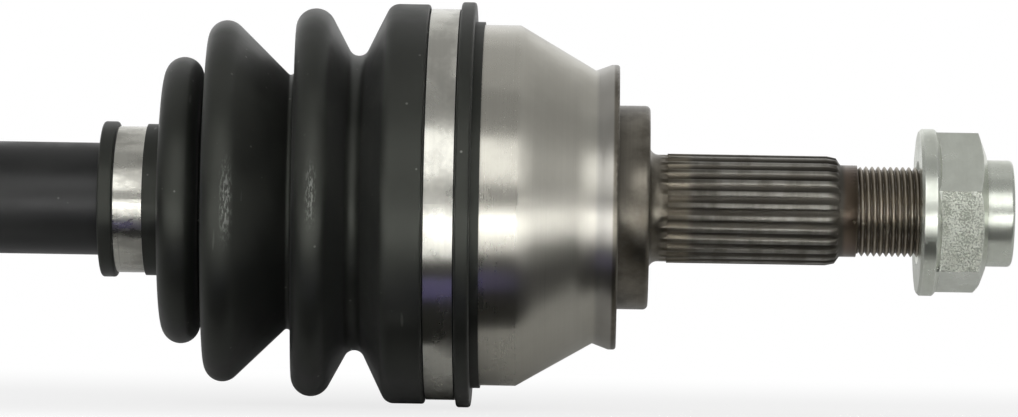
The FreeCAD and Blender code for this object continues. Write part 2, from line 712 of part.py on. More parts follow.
def bar_profile():
    """The bar from its gearbox end to its wheel end, as (x, radius) from the ball joint."""
    spacing = cell.joint_spacing
    groove, bevel = cell.ring_groove_radius, cell.bar_bevel
    tip, neck, body = cell.bar_spline_radius, cell.bar_neck_radius, cell.bar_radius
    room = cell.ring_width + cell.seat_gap * 2
    race = cell.race_half
    hub = cell.spider_half
    inner_end = -spacing - hub - room - cell.bar_end_margin
    outer_end = race + room + cell.bar_end_margin
    inner_shoulder = -spacing + hub + room + cell.bar_end_margin
    outer_shoulder = -race - cell.seat_gap
    inner_seat = -spacing + cell.inner_boot_length - cell.rim_width - cell.band_width \
        - cell.small_step_width - cell.bar_taper
    outer_seat = cell.rim_width + cell.band_width + cell.small_step_width + cell.bar_taper \
        - cell.outer_boot_length
    return [
        (inner_end, 0),
        (inner_end, tip - bevel),
        (inner_end + bevel, tip),
        (-spacing - hub - room, tip),
        (-spacing - hub - room, groove),
        (-spacing - hub, groove),
        (-spacing - hub, tip),
        (-spacing + hub, tip),
        (-spacing + hub, groove),
        (-spacing + hub + room, groove),
        (-spacing + hub + room, tip),
        (inner_shoulder, tip),
        (inner_shoulder + 2, neck),
        (inner_seat - cell.bar_taper, neck),
        (inner_seat, body),
        (outer_seat, body),
        (outer_seat + cell.bar_taper, neck),
        (outer_shoulder - cell.bar_shoulder_width * 2, neck),
        (outer_shoulder - cell.bar_shoulder_width, cell.bar_shoulder_radius),
        (outer_shoulder, cell.bar_shoulder_radius),
        (outer_shoulder, tip),
        (race, tip),
        (race, groove),
        (race + room, groove),
        (race + room, tip),
        (outer_end - bevel, tip),
        (outer_end, tip - bevel),
        (outer_end, 0),
    ]


def make_bar_shaft():
    body = new_body("bar_shaft", outer_place)
    turn(body, "blank", outline(body, "blank_profile", "XZ", bar_profile()))
    points = bar_profile()
    outer_end, outer_shoulder = points[-1][0], points[-8][0]
    inner_end, inner_shoulder = points[0][0], points[11][0]
    sizes = (cell.bar_spline_radius, cell.bar_spline_root,
             cell.bar_mouth_half, cell.bar_floor_half)
    spline_grooves(body, "wheel_spline", *sizes, outer_end, outer_end - outer_shoulder)
    spline_grooves(body, "gearbox_spline", *sizes, inner_shoulder, inner_shoulder - inner_end)


def snap_ring(body, low, inner, outer, width, gap_half):
    """An open ring with square ends, lying between low and low + width along the axis."""
    points = [(low, inner), (low + width, inner), (low + width, outer), (low, outer)]
    turn(body, "ring", outline(body, "ring_section", "XZ", points))
    reach = outer + 1
    gap = [(-gap_half, 0), (gap_half, 0), (gap_half, -reach), (-gap_half, -reach)]
    sketch = outline(body, "gap_outline", "YZ", gap, lift=low - 1)
    pocket(body, "gap", sketch, width + 2, reverse=True)


def make_snap_ring(label, place, low):
    body = new_body(label, place)
    snap_ring(body, low, cell.ring_groove_radius + cell.fit_gap, cell.ring_outer,
              cell.ring_width, cell.ring_gap_half)


# Boots and their bands

def small_end(start, way):
    """Outside of a boot's small end from its rim to its first fold."""
    seat = start + way * cell.rim_width
    step = seat + way * cell.band_width
    fold = step + way * cell.small_step_width
    foot = cell.small_step_round
    return [
        Corner(start, cell.rim_radius),
        Corner(seat, cell.rim_radius),
        Corner(seat, cell.small_seat_radius),
        Corner(step, cell.small_seat_radius),
        Corner(step, cell.small_step_radius),
        Corner(fold, cell.small_step_radius + foot, foot, way),
    ]


def boot_outline(start, way, folds, large_end):
    """Both sides of a boot's wall. folds lists crests and valleys in turn, as (place, floor
    or crest radius, rounding), and large_end the outside and inside of the end that grips
    the housing. way is 1 or -1 for a boot that runs towards +X or -X."""
    wall = cell.boot_wall
    bore = cell.bar_radius + cell.fit_gap
    outside = small_end(start, way)
    inside = []
    for index, (place, radius, rounding) in enumerate(folds):
        crest = index % 2 == 0
        height = radius - rounding if crest else radius + rounding
        bend = -way if crest else way
        thin = rounding - wall if crest else rounding + wall
        outside.append(Corner(place, height, rounding, bend))
        inside.append(Corner(place, height, thin, -bend))
    first_wall = start + way * (cell.rim_width + cell.band_width + cell.small_step_width)
    inside.reverse()
    inside.append(Corner(first_wall + way * wall, bore + wall * 1.4))
    inside.append(Corner(first_wall - way * wall * 0.5, bore))
    inside.append(Corner(start, bore))
    return outside + large_end + inside


def make_outer_boot():
    body = new_body("outer_boot", outer_place)
    folds = [
        (-cell.fold_a_place, cell.fold_a_radius, cell.fold_a_round),
        (-cell.valley_a_place, cell.valley_a_radius, cell.valley_a_round),
        (-cell.fold_b_place, cell.fold_b_radius, cell.fold_b_round),
        (-cell.valley_b_place, cell.valley_b_radius, cell.valley_b_round),
        (-cell.fold_c_place, cell.fold_c_radius, cell.fold_c_round),
        (-cell.valley_c_place, cell.valley_c_radius, cell.valley_c_round),
    ]
    bore = cell.bell_radius + cell.fit_gap
    stop = -cell.mouth_reach - cell.seat_gap
    lip = -cell.lip_start
    lip_end = lip + cell.lip_width
    low = cell.bell_radius - cell.boot_shoulder_depth
    large_end = [
        Corner(-cell.collar_place, cell.collar_radius - cell.collar_round, cell.collar_round, -1),
        Corner(-cell.collar_end, cell.collar_radius),
        Corner(-cell.collar_end, cell.large_seat_radius),
        Corner(lip, cell.large_seat_radius),
        Corner(lip, cell.lip_radius),
        Corner(lip_end, cell.lip_radius),
        Corner(lip_end, cell.skirt_radius),
        Corner(lip_end + cell.skirt_width, cell.skirt_radius),
        Corner(lip_end + cell.skirt_width, bore),
        Corner(stop, bore),
        Corner(stop, low),
        Corner(stop - cell.boot_shoulder_run, low),
    ]
    corners = boot_outline(-cell.outer_boot_length, 1, folds, large_end)
    turn(body, "boot", smooth_outline(body, "boot_profile", "XZ", corners))
    seat = cell.rim_width - cell.outer_boot_length
    round_rings(body, "edges", cell.boot_edge_round, [
        (-cell.outer_boot_length, cell.rim_radius),
        (seat, cell.rim_radius),
        (-cell.collar_end, cell.collar_radius),
        (lip, cell.lip_radius),
        (lip_end, cell.lip_radius),
    ])


def inner_boot_start():
    return cell.inner_boot_length


def make_inner_boot():
    """The inner boot has as many folds as fit between its small end and the housing."""
    body = new_body("inner_boot", inner_place)
    start = inner_boot_start()
    room = start - cell.inner_fold_first - cell.tulip_mouth - cell.inner_fold_rest
    fitting = int(room.value / cell.inner_fold_pitch.value + 0.5)
    folds = []
    for index in range(fitting):
        place = start - cell.inner_fold_first - cell.inner_fold_pitch * index
        crest = cell.inner_fold_radius + cell.inner_fold_growth * index
        valley = cell.inner_valley_radius + cell.inner_valley_growth * index
        between = place - cell.inner_fold_pitch * 0.5
        folds.append((place, crest, cell.inner_fold_round))
        folds.append((between, valley, cell.inner_valley_round))
    stop = cell.tulip_mouth + cell.seat_gap
    bore = cell.tulip_radius + cell.fit_gap
    seat = cell.tulip_mouth - cell.seat_gap * 10
    lip = seat - cell.band_width - cell.seat_gap * 2
    low = cell.tulip_radius - cell.boot_shoulder_depth
    large_end = [
        Corner(stop + cell.collar_round, cell.inner_collar_radius - cell.collar_round,
               cell.collar_round, 1),
        Corner(seat, cell.inner_collar_radius),
        Corner(seat, cell.inner_seat_radius),
        Corner(lip, cell.inner_seat_radius),
        Corner(lip, cell.inner_lip_radius),
        Corner(lip - cell.lip_width, cell.inner_lip_radius),
        Corner(lip - cell.lip_width, bore),
        Corner(stop, bore),
        Corner(stop, low),
        Corner(stop + cell.boot_shoulder_run * 0.6, low),
    ]
    corners = boot_outline(start, -1, folds, large_end)
    turn(body, "boot", smooth_outline(body, "boot_profile", "XZ", corners))
    round_rings(body, "edges", cell.boot_edge_round, [
        (start, cell.rim_radius),
        (start - cell.rim_width, cell.rim_radius),
        (lip, cell.inner_lip_radius),
        (lip - cell.lip_width, cell.inner_lip_radius),
    ])


def make_band(label, place, middle, seat):
    """A clamp band in its groove, with its crimped ear on the far side."""
    body = new_body(label, place)
    inner = seat + cell.fit_gap
    outer = inner + cell.band_wall
    half = cell.band_width * 0.5 - cell.seat_gap
    low, high = middle - half, middle + half
    ring = [(low, inner), (high, inner), (high, outer), (low, outer)]
    turn(body, "band", outline(body, "band_section", "XZ", ring))
    ear, rise, wall = cell.ear_half, cell.ear_height, cell.band_wall
    foot = inner + wall * 0.5
    top = outer + rise
    shape = [(foot, -ear), (outer + wall, -ear * 0.8), (top - wall, -ear), (top, -ear * 0.75),
             (top - wall * 0.6, 0.0), (top, ear * 0.75), (top - wall, ear),
             (outer + wall, ear * 0.8), (foot, ear)]
    sketch = outline(body, "ear_outline", "YZ", shape, lift=middle)
    pad(body, "ear", sketch, half * 2, both_ways=True)
    hollow = [(outer + wall * 0.4, -ear * 0.4), (top - wall * 2, -ear * 0.5),
              (top - wall * 2, ear * 0.5), (outer + wall * 0.4, ear * 0.4)]
    sketch = outline(body, "ear_hollow", "YZ", hollow, lift=middle)
    pocket(body, "hollow", sketch, half * 2 + 2, both_ways=True)


# Hub nut

def make_hub_nut():
    body = new_body("hub_nut")
    seat = cell.stub_length - cell.nut_engagement
    rim, rise = cell.nut_flange_rim, cell.nut_cone_rise
    flats = cell.nut_across_flats * 0.5
    corner = flats / math.cos(math.pi / 6)
    bevel = cell.nut_flange_bevel
    bore = cell.thread_radius + cell.fit_gap
    hex_end = seat + cell.nut_hex_height
    flange = [
        (seat, bore),
        (seat, cell.nut_flange_radius - bevel),
        (seat + bevel, cell.nut_flange_radius),
        (seat + rim - bevel, cell.nut_flange_radius),
        (seat + rim, cell.nut_flange_radius - bevel),
        (seat + rim + rise, flats - rise * 0.7),
        (seat + rim + rise, bore),
    ]
    turn(body, "flange", outline(body, "flange_profile", "XZ", flange))
    angles = [math.radians(45 + 60 * k) for k in range(6)]
    points = [(corner * math.cos(a), corner * math.sin(a)) for a in angles]
    sketch = outline(body, "hexagon_outline", "YZ", points, lift=seat + rim * 0.5)
    pad(body, "hexagon", sketch, cell.nut_hex_height - rim * 0.5)
    wide = corner + 2
    start = hex_end - cell.nut_bevel_rise
    cut = [(hex_end + 1, cell.nut_bevel_radius - cell.nut_bevel_rise * 0.3),
           (hex_end, cell.nut_bevel_radius), (start, corner + 0.1), (start, wide),
           (hex_end + 1, wide)]
    turn(body, "bevel", outline(body, "bevel_profile", "XZ", cut), cut=True)
    end = seat + cell.nut_collar_end
    collar = [(hex_end - 1, bore), (hex_end - 1, cell.nut_collar_radius),
              (end, cell.nut_collar_radius), (end, bore)]
    turn(body, "collar", outline(body, "collar_profile", "XZ", collar))
    mouth = cell.nut_mouth_radius
    hole = [(seat, 0), (seat, mouth), (seat + mouth - bore, bore), (end, bore), (end, 0)]
    turn(body, "bore", outline(body, "bore_profile", "XZ", hole), cut=True)
    round_rings(body, "collar_edge", cell.nut_collar_round, [(end, cell.nut_collar_radius)])


# Gearbox end

inner_place = -cell.outer_setback - cell.joint_spacing


def tulip_profile():
    """The outside of the tripod housing and its stub, from the stub's tip to the mouth."""
    back = -cell.tulip_floor - cell.tulip_floor_wall
    seat_end = back - cell.shield_seat_width
    land_end = seat_end - cell.inner_land_length
    spline_start = land_end - cell.inner_neck_length
    spline_end = spline_start - cell.inner_spline_length
    tip = spline_end - cell.inner_tip_length
    ring = spline_end + cell.inner_tip_length
    groove_end = ring + cell.ring_width + cell.seat_gap * 2
    high, low = cell.spline_radius, cell.ring_groove_radius
    return [
        (tip, 0),
        (tip, cell.inner_tip_radius - cell.stub_bevel),
        (tip + cell.stub_bevel, cell.inner_tip_radius),
        (spline_end, cell.inner_tip_radius),
        (spline_end + 1.5, high),
        (ring, high),
        (ring, low),
        (groove_end, low),
        (groove_end, high),
        (spline_start, high),
        (land_end, cell.neck_radius),
        (land_end, cell.inner_land_radius - 1.0),
        (land_end + 2.0, cell.inner_land_radius),
        (seat_end, cell.inner_land_radius),
        (seat_end, cell.shield_seat_radius),
        (back, cell.shield_seat_radius),
        (back, cell.tulip_back_radius),
        (back + cell.tulip_back_cone, cell.tulip_radius),
        (cell.tulip_mouth, cell.tulip_radius),
        (cell.tulip_mouth, 0),
    ], ring, spline_start, tip


def make_inner_joint_housing():
    body = new_body("inner_joint_housing", inner_place)
    profile, _, spline_start, tip = tulip_profile()
    turn(body, "blank", outline(body, "blank_profile", "XZ", profile))
    mouth, floor = cell.tulip_mouth, -cell.tulip_floor
    bore = [(mouth, 0), (mouth, cell.tulip_bore_mouth), (cell.tulip_bore_taper, cell.tulip_bore),
            (floor, cell.tulip_bore), (floor, 0)]
    turn(body, "bore", outline(body, "bore_profile", "XZ", bore), cut=True)
    radius = cell.roller_radius + cell.roller_play
    roof, middle = cell.track_roof, cell.roller_circle
    rise = (roof - middle).value
    lean = math.degrees(math.asin(rise / radius.value))
    side = across(radius, roof - middle)
    drawing = Drawing(body, "track_section", "YZ", lift=mouth)
    arc = drawing.arc((0, middle), radius, 180 - lean, 360 + lean)
    flat = drawing.line((side, roof), (-side, roof))
    drawing.link("Coincident", arc, 2, flat, 1)
    drawing.link("Coincident", flat, 2, arc, 1)
    drawing.at_y(arc, 1, roof)
    drawing.at_y(arc, 2, roof)
    track = pocket(body, "track", drawing.close(), mouth - floor)
    ring_of(body, "tracks", [track], TRUNNIONS)
    drawing = Drawing(body, "scallop_section", "YZ", lift=-cell.scallop_start)
    drawing.circle((0, -cell.scallop_offset), cell.scallop_radius)
    hollow = pocket(body, "scallop", drawing.close(), cell.tulip_floor + cell.tulip_floor_wall)
    ring_of(body, "scallops", [hollow], TRUNNIONS)
    spline_grooves(body, "splines", cell.spline_radius, cell.spline_root,
                   cell.spline_mouth_half, cell.spline_floor_half,
                   spline_start, spline_start - tip)


def make_inner_stub_ring():
    body = new_body("inner_stub_ring", inner_place)
    _, ring, _, _ = tulip_profile()
    snap_ring(body, ring + cell.seat_gap, cell.ring_groove_radius + cell.fit_gap,
              cell.spline_radius + 0.4, cell.ring_width, cell.ring_gap_half)


def make_dust_shield():
    body = new_body("gearbox_dust_shield", inner_place)
    back = -cell.tulip_floor - cell.tulip_floor_wall
    wall = cell.shield_wall
    seat = cell.shield_seat_radius + cell.fit_gap
    end = back - cell.shield_seat_width
    face = back - cell.seat_gap
    points = [
        (end, seat),
        (face, seat),
        (face, cell.shield_radius),
        (face - cell.shield_depth, cell.shield_radius + wall * 1.5),
        (face - cell.shield_depth, cell.shield_radius + wall * 0.5),
        (face - wall, cell.shield_radius - wall),
        (face - wall, seat + wall),
        (end, seat + wall),
    ]
    turn(body, "shield", outline(body, "shield_profile", "XZ", points))


def make_tripod_spider():
    body = new_body("tripod_spider", inner_place)
    half = cell.spider_half
    bore = cell.bar_spline_root + cell.fit_gap
    bevel = cell.race_bevel
    hub = [(-half, bore + bevel), (bevel - half, bore), (half - bevel, bore), (half, bore + bevel),
           (half, cell.spider_radius - bevel), (half - bevel, cell.spider_radius),
           (bevel - half, cell.spider_radius), (-half, cell.spider_radius - bevel)]
    turn(body, "hub", outline(body, "hub_profile", "XZ", hub))
    low = bore + 2.2
    top, groove, radius = cell.trunnion_tip, cell.trunnion_groove, cell.trunnion_radius
    ring = cell.roller_circle + cell.roller_half
    ring_end = ring + cell.washer_wall + cell.seat_gap * 2
    journal = [(0, low), (radius, low), (radius, ring), (groove, ring), (groove, ring_end),
               (radius, ring_end), (radius, top - cell.trunnion_bevel),
               (radius - cell.trunnion_bevel, top), (0, top)]
    sketch = outline(body, "journal_profile", "XZ", journal)
    arm = turn(body, "journal", sketch, about="V_Axis")
    ring_of(body, "journals", [arm], TRUNNIONS)
    spline_slots(body, "hub_spline", half)


def stand_round(body, seat):
    """Turns a body about the shaft's axis to one of the three journals."""
    turned = FreeCAD.Rotation(Vector(1, 0, 0), 360.0 * seat / TRUNNIONS)
    body.Placement = FreeCAD.Placement(body.Placement.Base, turned)
    body.setExpression("Placement.Base.x", inner_place.formula)


def make_roller(label, seat):
    body = new_body(label, inner_place)
    radius, half, middle = cell.roller_radius, cell.roller_half, cell.roller_circle
    bore = cell.trunnion_radius + cell.needle_radius * 2 + cell.fit_gap * 2
    edge = across(radius, half)
    lean = math.degrees(math.asin(half.value / radius.value))
    drawing = Drawing(body, "roller_profile", "XZ")
    arc = drawing.arc((0, middle), radius, -lean, lean)
    points = [(edge, middle + half), (bore, middle + half), (bore, middle - half),
              (edge, middle - half)]
    lines = [drawing.line(a, b) for a, b in zip(points, points[1:])]
    drawing.link("Coincident", arc, 2, lines[0], 1)
    drawing.link("Coincident", lines[0], 2, lines[1], 1)
    drawing.link("Coincident", lines[1], 2, lines[2], 1)
    drawing.link("Coincident", lines[2], 2, arc, 1)
    drawing.at_y(arc, 2, middle + half)
    drawing.at_y(arc, 1, middle - half)
    drawing.place(lines[1], 1, points[1])
    drawing.place(lines[2], 1, points[2])
    turn(body, "roller", drawing.close(), about="V_Axis")
    stand_round(body, seat)


def make_needles(label, seats):
    """Full rows of needles round the given journals."""
    row = cell.trunnion_radius + cell.needle_radius + cell.fit_gap
    length = (cell.roller_half - cell.seat_gap) * 2
    low = cell.roller_circle - cell.roller_half + cell.seat_gap
    needles = []
    for seat in seats:
        lean = FreeCAD.Rotation(Vector(1, 0, 0), 360.0 * seat / TRUNNIONS)
        for index in range(NEEDLES):
            angle = 2 * math.pi * index / NEEDLES
            spot = lean.multVec(Vector(0, math.sin(angle), 0))
            rise = lean.multVec(Vector(0, 0, 1))
            needle = doc.addObject("Part::Cylinder", f"{label}_{seat}_{index}")
            bind(needle, "Radius", cell.needle_radius)
            bind(needle, "Height", length)
            needle.Placement = FreeCAD.Placement(Vector(0, 0, 0), lean)
            across_x = inner_place + row * math.cos(angle)
            needle.setExpression("Placement.Base.x", across_x.formula)
            needle.setExpression("Placement.Base.y", (row * spot.y + low * rise.y).formula)
            needle.setExpression("Placement.Base.z", (row * spot.z + low * rise.z).formula)
            needles.append(needle)
    group = doc.addObject("Part::Compound", label)
    group.Label = label
    group.Links = needles


def make_roller_rings():
    """One retaining ring on each journal, over its needles and roller."""
    rings = []
    low = cell.roller_circle + cell.roller_half + cell.seat_gap
    for seat in range(TRUNNIONS):
        body = new_body(f"roller_ring_{seat}", inner_place)
        inner, outer = cell.trunnion_groove + cell.fit_gap, cell.washer_outer
        high = low + cell.washer_wall
        points = [(inner, low), (outer, low), (outer, high), (inner, high)]
        sketch = outline(body, "ring_section", "XZ", points)
        turn(body, "ring", sketch, about="V_Axis")
        stand_round(body, seat)
        rings.append(body)
    group = doc.addObject("Part::Compound", "roller_retaining_rings")
    group.Label = "roller_retaining_rings"
    group.Links = rings


make_outer_joint_housing()
make_outer_inner_race()
make_outer_ball_cage()
make_outer_balls("outer_balls_vertical", (0, 3))
make_outer_balls("outer_balls_side", (1, 2, 4, 5))
make_bar_shaft()
make_snap_ring("race_snap_ring", outer_place, cell.race_half + cell.seat_gap)
make_snap_ring("spider_ring_inboard", inner_place,
               -cell.spider_half - cell.seat_gap - cell.ring_width)
make_snap_ring("spider_ring_outboard", inner_place, cell.spider_half + cell.seat_gap)
make_outer_boot()
make_band("outer_boot_small_band", outer_place,
          cell.rim_width + cell.band_width * 0.5 - cell.outer_boot_length,
          cell.small_seat_radius)
make_band("outer_boot_large_band", outer_place,
          (-cell.collar_end - cell.lip_start) * 0.5, cell.large_seat_radius)
make_hub_nut()
make_inner_boot()
make_band("inner_boot_small_band", inner_place,
          inner_boot_start() - cell.rim_width - cell.band_width * 0.5,
          cell.small_seat_radius)
make_band("inner_boot_large_band", inner_place,
          cell.tulip_mouth - cell.seat_gap * 11 - cell.band_width * 0.5,
          cell.inner_seat_radius)
make_inner_joint_housing()
make_inner_stub_ring()
make_dust_shield()
make_tripod_spider()
make_roller("roller_top", 0)
make_roller("roller_left", 1)
make_roller("roller_right", 2)
make_needles("needles_top", (0,))
make_needles("needles_side", (1, 2))
make_roller_rings()

NODES = (
    "outer_joint_housing", "outer_inner_race", "outer_ball_cage", "outer_balls_vertical",
    "outer_balls_side", "bar_shaft", "race_snap_ring", "spider_ring_inboard",
    "spider_ring_outboard", "outer_boot", "outer_boot_small_band", "outer_boot_large_band",
    "hub_nut", "inner_boot", "inner_boot_small_band", "inner_boot_large_band",
    "inner_joint_housing", "inner_stub_ring", "gearbox_dust_shield", "tripod_spider",
    "roller_top", "roller_left", "roller_right", "needles_top", "needles_side",
    "roller_retaining_rings",
)


def check_and_write():
    doc.recompute()
    failed = [o.Name for o in doc.Objects if "Invalid" in o.State or "Error" in o.State]
    if failed:
        raise RuntimeError(f"these objects failed: {failed}")
    os.makedirs("parts", exist_ok=True)
    for label in NODES:
        shape = doc.getObjectsByLabel(label)[0].Shape
        if shape.isNull() or not shape.isValid() or not shape.Solids:
            raise RuntimeError(f"{label} has no valid solid")
        shape.exportStep(f"parts/{label}.step")
        print(f"{label}: {len(shape.Solids)} solids, {shape.Volume:.1f} mm3")


check_and_write()
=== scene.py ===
# %% [markdown]
# # Drive shaft
# A drive shaft carries the torque of a gearbox to a steered front wheel. The joint at the wheel
# is a ball joint under a black rubber boot, and the joint at the gearbox slides on three rollers.
# The CAD model gives every size. This lesson gives the parts their finishes, and models again the
# boots, which bend, and the thread of the stub.

# %% Load the frame
import math

import bmesh
import bpy
from mathutils import Matrix, Vector


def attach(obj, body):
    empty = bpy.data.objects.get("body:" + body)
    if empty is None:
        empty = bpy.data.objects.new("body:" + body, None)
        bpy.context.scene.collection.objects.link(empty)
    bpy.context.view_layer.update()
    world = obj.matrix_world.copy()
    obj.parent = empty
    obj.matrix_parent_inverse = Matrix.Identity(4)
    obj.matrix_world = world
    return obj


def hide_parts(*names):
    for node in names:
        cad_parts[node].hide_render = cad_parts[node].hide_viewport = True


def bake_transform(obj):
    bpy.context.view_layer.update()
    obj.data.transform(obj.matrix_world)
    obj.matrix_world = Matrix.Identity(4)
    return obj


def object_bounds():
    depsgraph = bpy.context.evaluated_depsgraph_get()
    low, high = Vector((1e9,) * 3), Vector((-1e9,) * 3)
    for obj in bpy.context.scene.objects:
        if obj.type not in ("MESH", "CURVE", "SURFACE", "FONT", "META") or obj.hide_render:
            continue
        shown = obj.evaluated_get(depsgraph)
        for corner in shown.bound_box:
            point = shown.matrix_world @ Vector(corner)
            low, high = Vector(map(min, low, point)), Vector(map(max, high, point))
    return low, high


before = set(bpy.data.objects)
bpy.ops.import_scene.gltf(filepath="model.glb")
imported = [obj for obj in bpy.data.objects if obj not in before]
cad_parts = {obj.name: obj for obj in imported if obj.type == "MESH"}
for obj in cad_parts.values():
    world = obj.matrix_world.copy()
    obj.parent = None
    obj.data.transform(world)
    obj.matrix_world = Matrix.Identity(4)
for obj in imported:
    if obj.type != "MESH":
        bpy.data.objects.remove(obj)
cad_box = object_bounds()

# %% [markdown]
# ## A short way to write node trees
# Every finish is a tree of shader nodes. A small class adds a node, sets its values and joins
# any socket that it is handed, so that a tree reads like a sum. All patterns read Object
# coordinates, which are metres along the shaft, because every piece's object sits at the origin.
# The same class writes the geometry nodes of the thread.

# %% Node helper
class Nodes:
    """Adds nodes to a tree, and joins what is handed in as a socket."""

    def __init__(self, tree):
        self.tree = tree

    def add(self, kind, sockets=(), **settings):
        prefix = "" if kind.startswith("GeometryNode") else "ShaderNode"
        node = self.tree.nodes.new(prefix + kind)
        for name, value in settings.items():
            setattr(node, name, value)
        for key, value in dict(sockets).items():
            self.give(node.inputs[key], value)
        return node

    def give(self, socket, value):
        if isinstance(value, bpy.types.NodeSocket):
            self.tree.links.new(value, socket)
        else:
            socket.default_value = value

    def math(self, operation, *values):
        return self.add("Math", enumerate(values), operation=operation).outputs[0]

    def span(self, value, low, high, first=0.0, last=1.0):
        """first below low, last above high, and a soft step between them."""
        sockets = {0: value, 1: low, 2: high, 3: first, 4: last}
        return self.add("MapRange", sockets, interpolation_type="SMOOTHSTEP").outputs[0]

    def noise(self, place, scale, detail=3.0, roughness=0.5):
        sockets = {"Vector": place, "Scale": scale, "Detail": detail, "Roughness": roughness}
        return self.add("TexNoise", sockets).outputs[0]

    def mix(self, share, first, second):
        sockets = {0: share, 6: first, 7: second}
        return self.add("Mix", sockets, data_type="RGBA").outputs[2]

    def blend(self, share, first, second):
        return self.add("Mix", {0: share, 2: first, 3: second}).outputs[0]

    def place(self):
        return self.add("TexCoord").outputs["Object"]

    def parts(self):
        """The x, y and z of each point. The x runs along the shaft."""
        return self.add("SeparateXYZ", {0: self.place()}).outputs

    def shaft(self):
        """Along the shaft, from its axis, and the turn about it, of each point."""
        x, y, z = self.parts()
        squares = self.math("ADD", self.math("MULTIPLY", y, y), self.math("MULTIPLY", z, z))
        return x, self.math("SQRT", squares), self.math("ARCTAN2", z, y)

    def vector(self, x, y, z):
        return self.add("CombineXYZ", {0: x, 1: y, 2: z}).outputs[0]

    def round_the_shaft(self):
        """The direction round the shaft's axis, for the sheen of turned steel."""
        return self.add("Tangent", direction_type="RADIAL", axis="X").outputs[0]


def shade(colour):
    return (*colour, 1.0)


# %% [markdown]
# ## Effects that several finishes share
# Lathe marks, scratches, worn edges with a painted highlight, grime with painted shade in its
# grooves, dust and grain appear on more than one part, so each is a node group, built once, with
# its strength as a named input.

# %% Node group helper
def new_group(name, inputs, outputs, kind="ShaderNodeTree", output_type="NodeSocketFloat"):
    tree = bpy.data.node_groups.new(name, kind)
    for label, value in inputs.items():
        socket = tree.interface.new_socket(
            name=label, in_out="INPUT",
            socket_type="NodeSocketInt" if isinstance(value, int) else "NodeSocketFloat")
        socket.default_value = value
    for label in outputs:
        tree.interface.new_socket(name=label, in_out="OUTPUT", socket_type=output_type)
    given = tree.nodes.new("NodeGroupInput").outputs
    result = tree.nodes.new("NodeGroupOutput").inputs
    return Nodes(tree), given, result


# %% [markdown]
# A lathe leaves fine rings. Noise that is read along the shaft and outwards, but hardly round
# it, gives lines that follow the turned surface, on its cylinders, cones and faces alike.

# %% Lathe rings
rings, given, result = new_group("lathe_rings", {"Per Metre": 1500.0, "Wander": 0.3}, ["Ring"])
along, out, turn = rings.shaft()
wander = rings.math("MULTIPLY", turn, rings.math("MULTIPLY", given["Wander"], 0.001))
fine = rings.noise(rings.vector(along, out, wander), given["Per Metre"], 2.0, 0.6)
coarse = rings.noise(rings.vector(along, out, wander),
                     rings.math("MULTIPLY", given["Per Metre"], 0.22), 2.0, 0.5)
rings.give(result["Ring"], rings.math("ADD", rings.math("MULTIPLY", fine, 0.6),
                                      rings.math("MULTIPLY", coarse, 0.4)))
print("lathe_rings:", len(rings.tree.nodes), "nodes")

# %% [markdown]
# Handling leaves scratches that run partly round the shaft. The noise is stretched round the
# axis and cut off high, so that only its thin peaks are left.

# %% Scratches
marks, given, result = new_group(
    "scratches", {"Per Metre": 1200.0, "Length": 1.0, "Amount": 0.3}, ["Scratch"])
along, out, turn = marks.shaft()
stretched = marks.vector(along, out, marks.math(
    "DIVIDE", marks.math("MULTIPLY", turn, 0.0016), given["Length"]))
peaks = marks.noise(stretched, given["Per Metre"], 1.0, 0.4)
floor_of_peaks = marks.math("SUBTRACT", 0.82, marks.math("MULTIPLY", given["Amount"], 0.2))
marks.give(result["Scratch"], marks.span(
    peaks, floor_of_peaks, marks.math("ADD", floor_of_peaks, 0.05)))
print("scratches:", len(marks.tree.nodes), "nodes")

# %% [markdown]
# Edges wear first, and a rounded edge catches light. The Bevel node gives the normal that a
# rounded edge would have, and where that differs from the real normal there is an edge. Noise
# breaks the line up. The lighter colour that the finishes give this mask is partly wear and
# partly a painted highlight.

# %% Worn edges with a painted highlight
edges, given, result = new_group(
    "worn_and_highlit_edges", {"Width": 0.0004, "Amount": 1.0, "Breakup": 300.0}, ["Edge"])
rounded = edges.add("Bevel", {"Radius": given["Width"]}, samples=4).outputs[0]
flat = edges.add("NewGeometry").outputs["Normal"]
alike = edges.add("VectorMath", {0: rounded, 1: flat}, operation="DOT_PRODUCT").outputs["Value"]
edge = edges.span(edges.math("SUBTRACT", 1.0, alike), 0.005, 0.08)
broken = edges.span(edges.noise(edges.place(), given["Breakup"], 3.0, 0.6), 0.35, 0.6, 0.35, 1.0)
edges.give(result["Edge"], edges.math(
    "MULTIPLY", edges.math("MULTIPLY", edge, broken), given["Amount"]))
print("worn_and_highlit_edges:", len(edges.tree.nodes), "nodes")

# %% [markdown]
# Oil, oxide and dirt make soft clouds on metal. Ambient occlusion finds the grooves, and
# darkening them by it is painted shade.

# %% Grime and painted shade in grooves
grime_and_groove_shade, given, result = new_group(
    "grime_and_groove_shade", {"Per Metre": 60.0, "Groove": 0.0015, "Seed": 0.0}, ["Cloud", "Groove"])
place = grime_and_groove_shade.add("VectorMath", {0: grime_and_groove_shade.place(), 1: grime_and_groove_shade.vector(given["Seed"], 0.0, 0.0)},
                  operation="ADD").outputs[0]
cloud = grime_and_groove_shade.noise(place, given["Per Metre"], 5.0, 0.62)
grime_and_groove_shade.give(result["Cloud"], grime_and_groove_shade.span(cloud, 0.38, 0.64))
# The Groove output is painted shade: it darkens the grooves that ambient occlusion finds.
open_air = grime_and_groove_shade.add("AmbientOcclusion", {"Distance": given["Groove"]}, samples=6).outputs["AO"]
grime_and_groove_shade.give(result["Groove"], grime_and_groove_shade.span(open_air, 0.9, 0.35))
print("grime:", len(grime_and_groove_shade.tree.nodes), "nodes")

# %% [markdown]
# Specks of dust are the middles of a few Voronoi cells. Their colour is random, so a cut on it
# leaves most of the cells clean.

